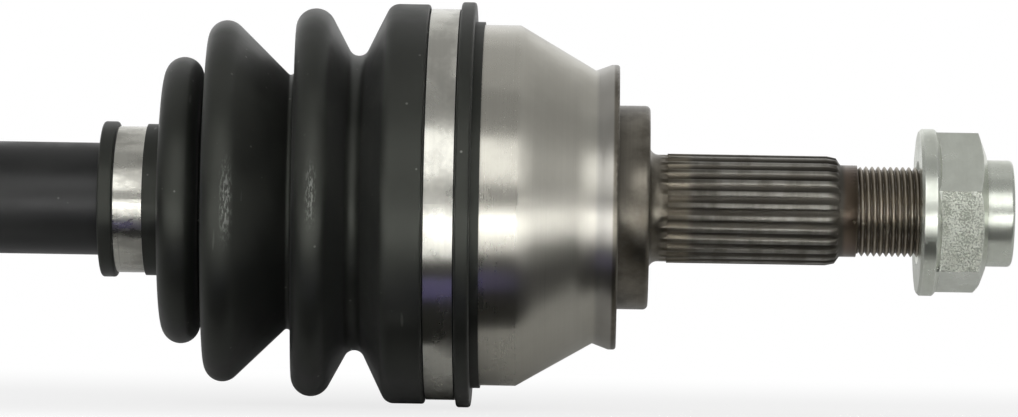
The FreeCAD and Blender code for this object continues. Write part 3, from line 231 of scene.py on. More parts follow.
# %% Dust
dust, given, result = new_group("dust_specks", {"Per Metre": 350.0, "Amount": 0.2}, ["Speck"])
cells = dust.add("TexVoronoi", {"Vector": dust.place(), "Scale": given["Per Metre"]})
chosen = dust.add("SeparateColor", {0: cells.outputs["Color"]}).outputs[0]
small = dust.span(cells.outputs["Distance"], 0.16, 0.06)
rare = dust.span(chosen, dust.math("SUBTRACT", 1.0, given["Amount"]), 1.0, 0.0, 1.0)
dust.give(result["Speck"], dust.math("MULTIPLY", small, rare))
print("dust_specks:", len(dust.tree.nodes), "nodes")

# %% [markdown]
# Castings, paint and rubber have a fine grain, which shows as bumps of two sizes.

# %% Grain
grain, given, result = new_group(
    "grain", {"Per Metre": 2500.0, "Coarse Share": 0.4}, ["Grain"])
place = grain.place()
fine = grain.noise(place, given["Per Metre"], 2.0, 0.55)
coarse = grain.noise(place, grain.math("MULTIPLY", given["Per Metre"], 0.18), 2.0, 0.5)
grain.give(result["Grain"], grain.blend(given["Coarse Share"], fine, coarse))
print("grain:", len(grain.tree.nodes), "nodes")

GROUPS = {name: bpy.data.node_groups[name] for name in (
    "lathe_rings", "scratches", "worn_and_highlit_edges", "grime_and_groove_shade", "dust_specks", "grain")}


# %% [markdown]
# ## Material helper
# A material here is a Principled shader. Constants such as the sheen are set on its own
# sockets, and what varies over the surface, such as colour and roughness, comes from nodes.

# %% Material helper
def new_material(name, **constants):
    material = bpy.data.materials.new(name)
    material.use_nodes = True
    material.node_tree.nodes.clear()
    n = Nodes(material.node_tree)
    surface = n.add("BsdfPrincipled", {k.replace("_", " "): v for k, v in constants.items()})
    n.add("OutputMaterial", {"Surface": surface.outputs[0]})
    return material, n, surface.inputs


def effect(n, name, **values):
    sockets = {key.replace("_", " "): value for key, value in values.items()}
    return n.add("Group", sockets, node_tree=GROUPS[name]).outputs


def bump(n, height, distance, strength=1.0, base=None):
    sockets = {"Height": height, "Distance": distance, "Strength": strength}
    if base is not None:
        sockets["Normal"] = base
    return n.add("Bump", sockets).outputs[0]


# %% [markdown]
# ## Steel of the ball joint's housing
# The bell is turned and bright. The seal land behind it has an oily, brownish oxide, the
# splines are gray-brown with brighter tooth tops, the relief after them is nearly black, and
# the thread is brown. One material takes its colour from how far along the shaft a point is,
# as the real heat treatment does.

# %% Places along the wheel joint
# Each pair is a soft step between two places along the shaft or out from its axis, in metres.
BELL_EDGE = (-0.0320, -0.0305)
FLARE = (-0.0135, -0.0122)
LAND = (-0.0092, -0.0086)
TEETH = (0.0020, 0.0048)
TEETH_GILT = (0.0110, 0.0085)
TOOTH_TOPS = (0.01295, 0.0134)
SCREW = (0.0466, 0.0480)
SCREW_TURNS = (0.0500, 0.0512)
SCREW_CRESTS = (0.0101, 0.0109)
print("bell, land, teeth and screw meet at:", LAND[0], TEETH[0], SCREW[0])


# %% Colours of the bell and the land
def bell_colour(n, along, ring, cloud):
    """Bright turned steel, darker on the flare beside the land."""
    bell = n.mix(ring, shade((0.49, 0.475, 0.415)), shade((0.59, 0.575, 0.515)))
    bell = n.mix(n.math("MULTIPLY", cloud, 0.18), bell, shade((0.40, 0.38, 0.335)))
    flare = n.math("MULTIPLY", n.span(along, *FLARE), 0.5)
    return n.mix(flare, bell, shade((0.30, 0.29, 0.28)))


def land_colour(n, ring, cloud):
    """Brown oxide in clouds, with the lathe's rings in it."""
    land = n.mix(cloud, shade((0.26, 0.24, 0.20)), shade((0.125, 0.112, 0.088)))
    return n.mix(n.math("MULTIPLY", ring, 0.5), land, shade((0.12, 0.11, 0.09)))


# %% Colours of the teeth and the screw
def teeth_colour(n, along, out, turn):
    """Darker in the gaps, as painted shade, and brighter on the worn tops, with stains, and gilt
    by the heat at the land's end.
    """
    teeth = n.mix(n.span(out, *TOOTH_TOPS), shade((0.12, 0.112, 0.096)),
                  shade((0.34, 0.33, 0.295)))
    stain = n.noise(n.vector(along, n.math("MULTIPLY", turn, 0.004), 0.0), 150.0, 4.0, 0.6)
    stain = n.math("MULTIPLY", n.span(stain, 0.40, 0.66), 0.6)
    teeth = n.mix(stain, teeth, shade((0.10, 0.088, 0.07)))
    gilt = n.math("MULTIPLY", n.span(along, *TEETH_GILT), 0.45)
    return n.mix(gilt, teeth, shade((0.40, 0.35, 0.26)))


def screw_colour(n, along, out):
    """A dark relief, and then the thread, its crests lighter than its roots as a painted
    highlight.
    """
    screw = n.mix(n.span(out, *SCREW_CRESTS), shade((0.24, 0.20, 0.15)),
                  shade((0.38, 0.335, 0.265)))
    return n.mix(n.span(along, *SCREW_TURNS), shade((0.17, 0.13, 0.10)), screw)


# %% Wheel joint steel
ACROSS = 0.25


def housing_steel():
    material, n, surface = new_material(
        "wheel_joint_steel", Metallic=1.0, Anisotropic=0.6, Anisotropic_Rotation=ACROSS)
    along, out, turn = n.shaft()
    ring = effect(n, "lathe_rings", Per_Metre=3400.0, Wander=0.15)["Ring"]
    dirt_and_shade = effect(n, "grime_and_groove_shade", Per_Metre=70.0, Groove=0.0012, Seed=0.3)
    wear_and_highlight = effect(n, "worn_and_highlit_edges", Width=0.00045)["Edge"]
    scratch = effect(n, "scratches", Per_Metre=1500.0, Length=2.6, Amount=0.3)["Scratch"]
    on_land, on_teeth, on_screw = [n.span(along, *place) for place in (LAND, TEETH, SCREW)]
    colour = n.mix(on_land, bell_colour(n, along, ring, dirt_and_shade["Cloud"]),
                   land_colour(n, ring, dirt_and_shade["Cloud"]))
    colour = n.mix(on_teeth, colour, teeth_colour(n, along, out, turn))
    colour = n.mix(on_screw, colour, screw_colour(n, along, out))
    # Darker in the grooves that ambient occlusion finds, which is painted shade, and lighter on
    # the edges, partly wear and partly painted highlight.
    colour = n.mix(n.math("MULTIPLY", dirt_and_shade["Groove"], 0.55), colour, shade((0.05, 0.045, 0.038)))
    colour = n.mix(n.math("MULTIPLY", wear_and_highlight, 0.5), colour, shade((0.72, 0.71, 0.67)))
    colour = n.mix(n.math("MULTIPLY", scratch, 0.22), colour, shade((0.24, 0.23, 0.21)))
    n.give(surface["Base Color"], colour)
    rough = n.blend(n.span(along, *BELL_EDGE), 0.24, 0.34)
    rough = n.blend(on_land, rough, 0.36)
    rough = n.blend(on_teeth, rough, 0.48)
    rough = n.blend(on_screw, rough, n.span(along, *SCREW_TURNS, 0.26, 0.42))
    rough = n.math("ADD", rough, n.math("MULTIPLY", dirt_and_shade["Cloud"], 0.06))
    rough = n.math("ADD", rough, n.math("MULTIPLY", n.math("SUBTRACT", ring, 0.5), 0.10))
    n.give(surface["Roughness"], rough)
    normal = bump(n, ring, 0.000012, 0.6)
    normal = bump(n, n.math("MULTIPLY", scratch, -1.0), 0.00002, 0.4, normal)
    n.give(surface["Normal"], normal)
    n.give(surface["Tangent"], n.round_the_shaft())
    return material


wheel_joint_steel = housing_steel()
print("wheel_joint_steel:", len(wheel_joint_steel.node_tree.nodes), "nodes")


# %% [markdown]
# ## Plain and turned steels
# The other steel parts differ in their gray, their shine and how coarse the marks on them are,
# so one function makes them all.

# %% Steel function
def steel(name, light, dark, rough, ring_scale=1500.0, ring_depth=0.00002, edge=0.5,
          cloud=0.35, anisotropic=0.4, seed=0.0, scratch_share=0.25):
    """A steel of two grays, with its roughness and how strongly its marks show."""
    material, n, surface = new_material(
        name, Metallic=1.0, Anisotropic=anisotropic, Anisotropic_Rotation=ACROSS)
    ring = effect(n, "lathe_rings", Per_Metre=ring_scale)["Ring"]
    dirt_and_shade = effect(n, "grime_and_groove_shade", Per_Metre=80.0, Groove=0.0015, Seed=seed)
    wear_and_highlight = effect(n, "worn_and_highlit_edges", Width=0.0004)["Edge"]
    scratch = effect(n, "scratches", Per_Metre=1000.0, Length=0.8, Amount=0.4)["Scratch"]
    colour = n.mix(ring, shade(dark), shade(light))
    colour = n.mix(n.math("MULTIPLY", dirt_and_shade["Cloud"], cloud), colour, shade(dark))
    # Darker in the grooves that ambient occlusion finds: painted shade.
    colour = n.mix(n.math("MULTIPLY", dirt_and_shade["Groove"], 0.6), colour,
                   shade([c * 0.3 for c in dark]))
    colour = n.mix(n.math("MULTIPLY", scratch, scratch_share), colour,
                   shade([c * 0.5 for c in dark]))
    # Lighter on the edges: partly wear, partly painted highlight.
    colour = n.mix(n.math("MULTIPLY", wear_and_highlight, edge), colour, shade((0.80, 0.79, 0.76)))
    n.give(surface["Base Color"], colour)
    shine = n.math("ADD", rough, n.math("MULTIPLY", dirt_and_shade["Cloud"], 0.12))
    shine = n.math("ADD", shine, n.math("MULTIPLY", n.math("SUBTRACT", ring, 0.5), 0.12))
    n.give(surface["Roughness"], shine)
    n.give(surface["Normal"], bump(n, ring, ring_depth, 0.6))
    if anisotropic > 0:
        n.give(surface["Tangent"], n.round_the_shaft())
    return material


gearbox_joint_steel = steel("gearbox_joint_steel", (0.46, 0.44, 0.40), (0.28, 0.265, 0.24), 0.32,
                            seed=0.7)
race_steel = steel("race_steel", (0.50, 0.49, 0.46), (0.34, 0.33, 0.30), 0.24,
                   ring_scale=2200.0, seed=1.1)
ring_steel = steel("ring_steel", (0.36, 0.35, 0.33), (0.22, 0.21, 0.20), 0.34, seed=1.7)
shield_steel = steel("shield_steel", (0.50, 0.50, 0.49), (0.36, 0.36, 0.35), 0.36,
                     ring_scale=700.0, seed=2.3, anisotropic=0.2)
ball_steel = steel("ball_steel", (0.66, 0.655, 0.64), (0.54, 0.535, 0.52), 0.10,
                   ring_scale=3000.0, ring_depth=0.000004, edge=0.0, cloud=0.15,
                   anisotropic=0.0, seed=2.9, scratch_share=0.15)
print("steels:", [m.name for m in (gearbox_joint_steel, race_steel, ring_steel, shield_steel,
                                   ball_steel)])


# %% [markdown]
# ## Bright steel of the clamp bands
# A clamp band is polished strip. Its marks run along the strip, so round the shaft, and smears
# of grease make its shine uneven.

# %% Band steel
def strip_steel():
    material, n, surface = new_material(
        "band_steel", Metallic=1.0, Anisotropic=0.5, Anisotropic_Rotation=ACROSS)
    along, _, turn = n.shaft()
    ring = effect(n, "lathe_rings", Per_Metre=1100.0, Wander=1.2)["Ring"]
    wear_and_highlight = effect(n, "worn_and_highlit_edges", Width=0.0003)["Edge"]
    smear = n.noise(n.vector(n.math("MULTIPLY", along, 0.8), 0.0,
                             n.math("MULTIPLY", turn, 0.030)), 90.0, 4.0, 0.6)
    smear = n.span(smear, 0.42, 0.62)
    scratch = effect(n, "scratches", Per_Metre=700.0, Length=2.5, Amount=0.5)["Scratch"]
    colour = n.mix(ring, shade((0.54, 0.53, 0.475)), shade((0.72, 0.715, 0.65)))
    colour = n.mix(n.math("MULTIPLY", smear, 0.6), colour, shade((0.34, 0.33, 0.30)))
    colour = n.mix(n.math("MULTIPLY", scratch, 0.4), colour, shade((0.30, 0.29, 0.27)))
    # Lighter on the edges: partly wear, partly painted highlight.
    colour = n.mix(n.math("MULTIPLY", wear_and_highlight, 0.5), colour, shade((0.85, 0.85, 0.83)))
    n.give(surface["Base Color"], colour)
    n.give(surface["Roughness"], n.math("ADD", 0.22, n.math("MULTIPLY", smear, 0.18)))
    normal = bump(n, ring, 0.00003, 0.5)
    n.give(surface["Normal"], bump(n, smear, 0.00008, 0.3, normal))
    n.give(surface["Tangent"], n.round_the_shaft())
    return material


band_steel = strip_steel()
print("band_steel:", len(band_steel.node_tree.nodes), "nodes")


# %% [markdown]
# ## Zinc of the hub nut
# The nut is forged and zinc plated, so it is silvery with a little green in it. Two of its
# faces keep the forging's grain, the other four are brushed, and the flange and collar are
# turned smooth. The two forged faces look at 15 degrees from the y axis, and a point is on one
# where its distance in that direction is half the nut's width across flats.

# %% Nut faces
FORGED_FACE_TURN = math.radians(15)
FORGED_FACE = (0.01735, 0.01745)
HEXAGON_START, HEXAGON_END = (0.0702, 0.0704), (0.0822, 0.0819)


def nut_faces(n):
    """1 on the six faces, and 1 on the two forged ones."""
    x, y, z = n.parts()
    on_faces = n.math("MULTIPLY", n.span(x, *HEXAGON_START), n.span(x, *HEXAGON_END))
    outwards = n.math("ADD", n.math("MULTIPLY", y, math.cos(FORGED_FACE_TURN)),
                      n.math("MULTIPLY", z, math.sin(FORGED_FACE_TURN)))
    return on_faces, n.math("MULTIPLY", on_faces,
                            n.span(n.math("ABSOLUTE", outwards), *FORGED_FACE))


# %% Nut zinc
def nut_plating():
    material, n, surface = new_material("nut_zinc", Metallic=1.0, Anisotropic=0.2)
    along, out, turn = n.shaft()
    ring = effect(n, "lathe_rings", Per_Metre=1300.0)["Ring"]
    on_faces, rough_face = nut_faces(n)
    brushed = n.noise(n.vector(along, n.math("MULTIPLY", out, 0.05),
                               n.math("MULTIPLY", turn, 0.0005)), 1500.0, 2.0, 0.6)
    brushed = n.math("MULTIPLY", on_faces, brushed)
    pit = n.span(effect(n, "grain", Per_Metre=2300.0, Coarse_Share=0.25)["Grain"], 0.40, 0.60)
    dirt_and_shade = effect(n, "grime_and_groove_shade", Per_Metre=130.0, Groove=0.0012, Seed=4.1)
    wear_and_highlight = effect(n, "worn_and_highlit_edges", Width=0.0008, Breakup=700.0)["Edge"]
    colour = n.mix(ring, shade((0.66, 0.69, 0.61)), shade((0.80, 0.83, 0.75)))
    forged = n.mix(pit, shade((0.36, 0.38, 0.315)), shade((0.80, 0.825, 0.74)))
    colour = n.mix(rough_face, colour, forged)
    colour = n.mix(n.math("MULTIPLY", dirt_and_shade["Cloud"], 0.2), colour, shade((0.46, 0.47, 0.41)))
    # Darker in the grooves that ambient occlusion finds, which is painted shade, and lighter on
    # the edges, partly wear and partly painted highlight.
    colour = n.mix(n.math("MULTIPLY", dirt_and_shade["Groove"], 0.5), colour, shade((0.16, 0.16, 0.14)))
    colour = n.mix(n.math("MULTIPLY", wear_and_highlight, 0.8), colour, shade((0.88, 0.90, 0.84)))
    n.give(surface["Base Color"], colour)
    rough = n.blend(rough_face, 0.27, 0.42)
    n.give(surface["Roughness"], n.math("ADD", rough, n.math("MULTIPLY", dirt_and_shade["Cloud"], 0.08)))
    height = n.blend(rough_face, n.math("MULTIPLY", n.math("MAXIMUM", ring, brushed), 0.2), pit)
    n.give(surface["Normal"], bump(n, height, 0.00008, 0.9))
    return material


nut_zinc = nut_plating()
print("nut_zinc:", len(nut_zinc.node_tree.nodes), "nodes")


# %% [markdown]
# ## Black paint of the bar
# The bar is painted satin black. Sprayed paint dries with an orange-peel surface, and handling
# rubs parts of it a little grayer. Its two ends, inside the joints, are masked and stay bare.

# %% Bar paint
BAR_MIDDLE = -0.220
MASKED = (0.152, 0.1535)


def satin_paint():
    material, n, surface = new_material("bar_paint", Specular_IOR_Level=0.5, Coat_Roughness=0.25)
    along = n.parts()[0]
    peel = effect(n, "grain", Per_Metre=1100.0, Coarse_Share=0.5)["Grain"]
    dirt_and_shade = effect(n, "grime_and_groove_shade", Per_Metre=55.0, Groove=0.003, Seed=5.3)
    wear_and_highlight = effect(n, "worn_and_highlit_edges", Width=0.0004)["Edge"]
    speck = effect(n, "dust_specks", Per_Metre=420.0, Amount=0.12)["Speck"]
    colour = n.mix(dirt_and_shade["Cloud"], shade((0.0050, 0.0053, 0.0050)), shade((0.011, 0.0115, 0.0105)))
    # Lighter on the edges: partly rubbed paint, partly painted highlight.
    colour = n.mix(n.math("MULTIPLY", wear_and_highlight, 0.25), colour, shade((0.10, 0.10, 0.095)))
    colour = n.mix(n.math("MULTIPLY", speck, 0.35), colour, shade((0.30, 0.30, 0.28)))
    bare = n.span(n.math("ABSOLUTE", n.math("SUBTRACT", along, BAR_MIDDLE)), *MASKED)
    colour = n.mix(bare, colour, shade((0.30, 0.29, 0.27)))
    n.give(surface["Base Color"], colour)
    n.give(surface["Metallic"], bare)
    n.give(surface["Roughness"], n.math("ADD", 0.34, n.math("MULTIPLY", dirt_and_shade["Cloud"], 0.14)))
    n.give(surface["Normal"], bump(n, peel, 0.00005, 0.5))
    return material


bar_paint = satin_paint()
print("bar_paint:", len(bar_paint.node_tree.nodes), "nodes")


# %% [markdown]
# ## Rubber of the boots
# Moulded rubber is nearly black, with a soft sheen and a fine grain. The crests of its folds
# are scuffed to a shine where other parts have rubbed them, and dust lies on it. Two crests of
# the outer boot have a rubbed place on the front.

# %% Rubbed places
RUBBED_PLACES = [(-0.1004, 0.0, 0.0019, 0.013), (-0.0802, 0.002, 0.0017, 0.010)]
FRONT = (-0.02, -0.03)


def rubbed_place(n, parts, x, z, half_wide, half_tall):
    """1 in a patch on the front of a fold, and 0 outside it."""
    off_x = n.math("ABSOLUTE", n.math("SUBTRACT", parts[0], x))
    off_z = n.math("ABSOLUTE", n.math("SUBTRACT", parts[2], z))
    patch = n.math("MULTIPLY", n.span(off_x, half_wide, 0.0), n.span(off_z, half_tall, 0.0))
    return n.math("MULTIPLY", patch, n.span(parts[1], *FRONT))


# %% Boot rubber
def moulded_rubber():
    material, n, surface = new_material(
        "boot_rubber", Specular_IOR_Level=0.5, Specular_Tint=(0.96, 1.0, 0.88, 1.0),
        Sheen_Weight=0.06, Sheen_Roughness=0.4)
    parts = n.parts()
    skin = effect(n, "grain", Per_Metre=3200.0, Coarse_Share=0.35)["Grain"]
    dirt_and_shade = effect(n, "grime_and_groove_shade", Per_Metre=45.0, Groove=0.006, Seed=7.9)
    speck = effect(n, "dust_specks", Per_Metre=380.0, Amount=0.16)["Speck"]
    scuff = effect(n, "scratches", Per_Metre=420.0, Length=0.22, Amount=0.25)["Scratch"]
    rubbed = n.math("MAXIMUM", *[rubbed_place(n, parts, *place) for place in RUBBED_PLACES])
    tall = n.vector(n.math("MULTIPLY", parts[0], 2.4), 0.0, n.math("MULTIPLY", parts[2], 0.6))
    rubbed = n.math("MULTIPLY", rubbed, n.span(n.noise(tall, 900.0, 3.0, 0.65), 0.46, 0.60))
    scuff = n.math("MAXIMUM", scuff, rubbed)
    colour = n.mix(dirt_and_shade["Cloud"], shade((0.0060, 0.0064, 0.0056)), shade((0.012, 0.0125, 0.011)))
    colour = n.mix(n.math("MULTIPLY", speck, 0.5), colour, shade((0.30, 0.30, 0.28)))
    colour = n.mix(n.math("MULTIPLY", scuff, 0.18), colour, shade((0.16, 0.16, 0.15)))
    colour = n.mix(n.math("MULTIPLY", rubbed, 0.5), colour, shade((0.26, 0.265, 0.25)))
    n.give(surface["Base Color"], colour)
    rough = n.math("ADD", 0.40, n.math("MULTIPLY", dirt_and_shade["Cloud"], 0.12))
    rough = n.math("SUBTRACT", rough, n.math("MULTIPLY", scuff, 0.20))
    n.give(surface["Roughness"], rough)
    normal = bump(n, skin, 0.00005, 0.45)
    n.give(surface["Normal"], bump(n, n.math("MULTIPLY", scuff, -1.0), 0.00006, 0.5, normal))
    return material


boot_rubber = moulded_rubber()
print("boot_rubber:", len(boot_rubber.node_tree.nodes), "nodes")

# %% [markdown]
# ## Give the CAD nodes their finishes
# The CAD solids keep their shape, and each takes the finish of its real counterpart.

# %% Assign finishes
FINISHES = [
    (wheel_joint_steel, ["outer_joint_housing"]),
    (gearbox_joint_steel, ["inner_joint_housing"]),
    (race_steel, ["outer_inner_race", "outer_ball_cage", "tripod_spider", "roller_top",
                  "roller_left", "roller_right"]),
    (ball_steel, ["outer_balls_vertical", "outer_balls_side", "needles_top", "needles_side"]),
    (ring_steel, ["race_snap_ring", "spider_ring_inboard", "spider_ring_outboard",
                  "inner_stub_ring", "roller_retaining_rings"]),
    (shield_steel, ["gearbox_dust_shield"]),
    (band_steel, ["outer_boot_small_band", "outer_boot_large_band", "inner_boot_small_band",
                  "inner_boot_large_band"]),
    (nut_zinc, ["hub_nut"]),
    (bar_paint, ["bar_shaft"]),
]


def dress(thing, material):
    thing.data.materials.clear()
    thing.data.materials.append(material)


for material, names in FINISHES:
    for name in names:
        dress(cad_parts[name], material)
    print(material.name, "on", len(names), "nodes")

# %% [markdown]
# ## A boot's section
# A boot is a turned shape. Its section is straight runs between circles, like a belt round
# pulleys: each crest and each valley is a pulley, and a plain corner is a pulley of no size.
# The first list gives the outside, and the second the inside, from the small end on.

# %% Belt round pulleys
MM = 0.001
ARC_STEP = math.radians(9)
RUN_STEP = 1.1


def belt(pulleys):
    """Points of the line round pulleys, each (x, r, radius, turn), turn 1 to the left."""
    runs = []
    for a, b in zip(pulleys, pulleys[1:]):
        pull_a, pull_b = a[3] * a[2], b[3] * b[2]
        dx, dr = b[0] - a[0], b[1] - a[1]
        heading = math.atan2(dr, dx) - math.asin((pull_b - pull_a) / math.hypot(dx, dr))
        side = (-math.sin(heading), math.cos(heading))
        runs.append(((a[0] - pull_a * side[0], a[1] - pull_a * side[1]),
                     (b[0] - pull_b * side[0], b[1] - pull_b * side[1]), heading))
    points = [runs[0][0]]
    for i, (leave, meet, heading) in enumerate(runs):
        count = max(1, int(math.dist(leave, meet) / RUN_STEP))
        points += [(leave[0] + (meet[0] - leave[0]) * k / count,
                    leave[1] + (meet[1] - leave[1]) * k / count) for k in range(1, count + 1)]
        if i + 1 < len(runs) and pulleys[i + 1][2] > 0:
            x, r, radius, way = pulleys[i + 1]
            sweep = way * ((way * (runs[i + 1][2] - heading) + math.pi / 2) % math.tau
                           - math.pi / 2)
            steps = max(1, int(abs(sweep) / ARC_STEP))
            for k in range(1, steps + 1):
                angle = heading + sweep * k / steps
                points.append((x + way * radius * math.sin(angle),
                               r - way * radius * math.cos(angle)))
    return points


# %% Part of a line
def between(line, low, high):
    """The part of a line from x low to x high, in the line's own order."""
    kept = []
    for (xa, ra), (xb, rb) in zip(line, line[1:]):
        if low <= xa <= high:
            kept.append((xa, ra))
        cuts = [x for x in (low, high) if min(xa, xb) < x < max(xa, xb)]
        for x in sorted(cuts, reverse=xb < xa):
            kept.append((x, ra + (rb - ra) * (x - xa) / (xb - xa)))
    if low <= line[-1][0] <= high:
        kept.append(line[-1])
    return kept


# %% [markdown]
# A section becomes a mesh by turning it round the shaft's axis. The ring of faces closes on
# itself, so nothing has to be merged, and the normals are then made to point outwards.

# %% Turn a section
ROUND = 160


def finished(name, build, material, smooth=40.0):
    """A mesh object at the origin, from the bmesh build, with its normals outwards."""
    bmesh.ops.recalc_face_normals(build, faces=build.faces)
    mesh = bpy.data.meshes.new(name)
    build.to_mesh(mesh)
    build.free()
    mesh.polygons.foreach_set("use_smooth", [True] * len(mesh.polygons))
    mesh.set_sharp_from_angle(angle=math.radians(smooth))
    mesh.materials.append(material)
    thing = bpy.data.objects.new(name, mesh)
    bpy.context.scene.collection.objects.link(thing)
    return thing


def turned(name, section, material, lean=None):
    """The closed section (x, r), in millimetres, turned round the X axis. lean gives, for an x,
    by how much the circle there leans towards +X on the side of -Y."""
    build = bmesh.new()
    loops = []
    for k in range(ROUND):
        angle = math.tau * k / ROUND
        c, s = math.cos(angle), math.sin(angle)
        loops.append([build.verts.new((
            (x - r * c * (lean(x) if lean else 0.0)) * MM, r * c * MM, r * s * MM))
            for x, r in section])
    for k in range(ROUND):
        here, there = loops[k], loops[(k + 1) % ROUND]
        for i in range(len(section)):
            j = (i + 1) % len(section)
            build.faces.new((here[i], here[j], there[j], there[i]))
    return finished(name, build, material)


# %% [markdown]
# ## The boot of the ball joint
# This is the boot in the photograph: a rim and a clamp's seat at the bar, three folds that grow
# towards the joint, and a collar that the large band clamps to the bell. The joint bends by three
# hinges one after the other: half the ride, the steering, and the other half. So the boot is
# three meshes that meet in plain places, one for each hinge.

# %% Crests, valleys and corners
WALL = 2.2
EDGE = 0.7


def crest(x, top, rounding, inner=False):
    """The pulley of a fold's crest, smaller by the wall on the inside."""
    return (x, top - rounding, rounding - (WALL if inner else 0), -1)


def valley(x, floor, rounding, inner=False):
    """The pulley of a valley between folds, larger by the wall on the inside."""
    return (x, floor + rounding, rounding + (WALL if inner else 0), 1)


def corner(x, r, rounding=0.0, side=0):
    """A plain corner, or an outer one whose edge is rounded, with the metal on side -1 or 1."""
    if not side:
        return (x, r, 0.0, 1)
    return (x - side * rounding, r - rounding, rounding, -1)


# %% Wheel side boot, section
WHEEL_FOLDS = [
    (crest, -113.9, 35.0, 4.6), (valley, -108.6, 27.0, 0.6), (crest, -103.6, 44.15, 4.5),
    (valley, -88.0, 31.1, 0.9), (crest, -82.0, 47.4, 4.9), (valley, -71.4, 36.0, 2.6),
]
wheel_outside = [
    corner(-133.3, 13.75), corner(-133.3, 19.0, EDGE, -1), corner(-129.6, 19.0, EDGE, 1),
    corner(-129.6, 17.0), corner(-122.5, 17.0), corner(-122.5, 18.5), (-119.5, 19.9, 1.4, 1),
    *[make(x, r, rounding) for make, x, r, rounding in WHEEL_FOLDS],
    (-61.6, 45.8, 3.0, -1), corner(-54.0, 48.8, EDGE, 1), corner(-54.0, 46.9),
    corner(-46.3, 46.9), corner(-46.3, 49.5, EDGE, -1), corner(-42.8, 49.5, EDGE, 1),
    corner(-42.8, 44.75), corner(-40.6, 44.75), corner(-40.6, 44.1),
]
wheel_inside = [
    corner(-133.3, 13.75), corner(-120.6, 13.75), corner(-117.3, 16.83),
    *[make(x, r, rounding, True) for make, x, r, rounding in WHEEL_FOLDS],
    corner(-64.3, 41.95), corner(-60.1, 41.95), corner(-60.1, 44.1), corner(-40.6, 44.1),
]
print("points outside and inside:", len(belt(wheel_outside)), len(belt(wheel_inside)))

# %% [markdown]
# Soft folds don't sit square to the shaft. In the photograph the circles of the folds lean by
# up to 2.6 degrees, and those of the two clamped ends not at all.

# %% Lean of the folds
LEANS = [(-122.0, 0.0), (-118.0, 0.023), (-108.0, 0.035), (-87.0, 0.045), (-85.0, 0.045),
         (-66.0, 0.0)]


def fold_lean(x):
    """How far the outer boot's circle at x leans, in radians."""
    for (xa, a), (xb, b) in zip(LEANS, LEANS[1:]):
        if xa <= x <= xb:
            return a + (b - a) * (x - xa) / (xb - xa)
    return 0.0


print("largest lean:", round(math.degrees(max(lean for _, lean in LEANS)), 1), "degrees")

# %% Wheel side boot, three meshes
WHEEL_BENDS = [
    ("wheel_boot_small_end", -140.0, -112.0, "bar", "ball_pair", -122.5, -113.3),
    ("wheel_boot_folds", -112.0, -71.4, "ball_pair", "outer_boot", -104.5, -72.0),
    ("wheel_boot_collar", -71.4, 0.0, "outer_boot", "outer_joint", -70.8, -54.2),
]


def boot(lines, bends, node, lean=None):
    """The meshes of one boot, each from x low to high. The lines are the outside and the inside,
    and lean is how its circles lean."""
    outside, inside = belt(lines[0]), belt(lines[1])
    for name, low, high, near, far, start, end in bends:
        section = between(outside, low, high) + between(inside, low, high)[::-1]
        section = [p for i, p in enumerate(section) if math.dist(p, section[i - 1]) > 1e-4]
        piece = turned(name, section, boot_rubber, lean=lean)
        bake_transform(piece)
        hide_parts(node)
        print(name, len(section), "points,", len(piece.data.polygons), "faces")


boot((wheel_outside, wheel_inside), WHEEL_BENDS, "outer_boot", fold_lean)

# %% [markdown]
# ## The boot of the gearbox joint
# The other boot is out of the photograph. It is the usual one for such a joint: four even folds
# that grow from the bar to the housing, so its folds are written as a rule. It is three meshes,
# one for each of the joint's sideways turn, its ride, and its plunge.

# %% Gearbox side boot
gearbox_folds = []
for k in (3, 2, 1, 0):
    gearbox_folds.append((valley, -273.8 - 15.0 * k, 20.5 + 2.9 * k, 2.2))
    gearbox_folds.append((crest, -266.3 - 15.0 * k, 27.0 + 3.5 * k, 3.2))
gearbox_outside = [
    corner(-341.8, 38.55), corner(-341.8, 43.0, EDGE, -1), corner(-338.3, 43.0, EDGE, 1),
    corner(-338.3, 40.6), corner(-331.0, 40.6), corner(-331.0, 42.2, EDGE, -1),
    (-326.9, 39.2, 3.0, -1),
    *[make(x, r, rounding) for make, x, r, rounding in gearbox_folds],
    (-261.1, 19.9, 1.4, 1), corner(-258.1, 18.5), corner(-258.1, 17.0), corner(-251.0, 17.0),
    corner(-251.0, 19.0, EDGE, -1), corner(-247.3, 19.0, EDGE, 1), corner(-247.3, 13.75),
]
gearbox_inside = [
    corner(-341.8, 38.55), corner(-329.9, 38.55), corner(-329.9, 36.4), corner(-327.4, 36.4),
    *[make(x, r, rounding, True) for make, x, r, rounding in gearbox_folds],
    corner(-263.3, 16.83), corner(-260.0, 13.75), corner(-247.3, 13.75),
]
GEARBOX_BENDS = [
    ("gearbox_boot_small_end", -281.3, -200.0, "bar", "needle_top", -259.5, -281.3),
    ("gearbox_boot_folds", -303.8, -281.3, "needle_top", "inner_boot", -281.3, -303.8),
    ("gearbox_boot_collar", -400.0, -303.8, "inner_boot", "inner_joint", -303.8, -329.9),
]
boot((gearbox_outside, gearbox_inside), GEARBOX_BENDS, "inner_boot")

# %% [markdown]
# ## The thread of the stub
# The CAD solid has a plain cylinder where the thread is, because a cut helix is slow to build.
# Here a copy of the housing is narrowed to the thread's root there, and the thread is laid on
# it as a sleeve.

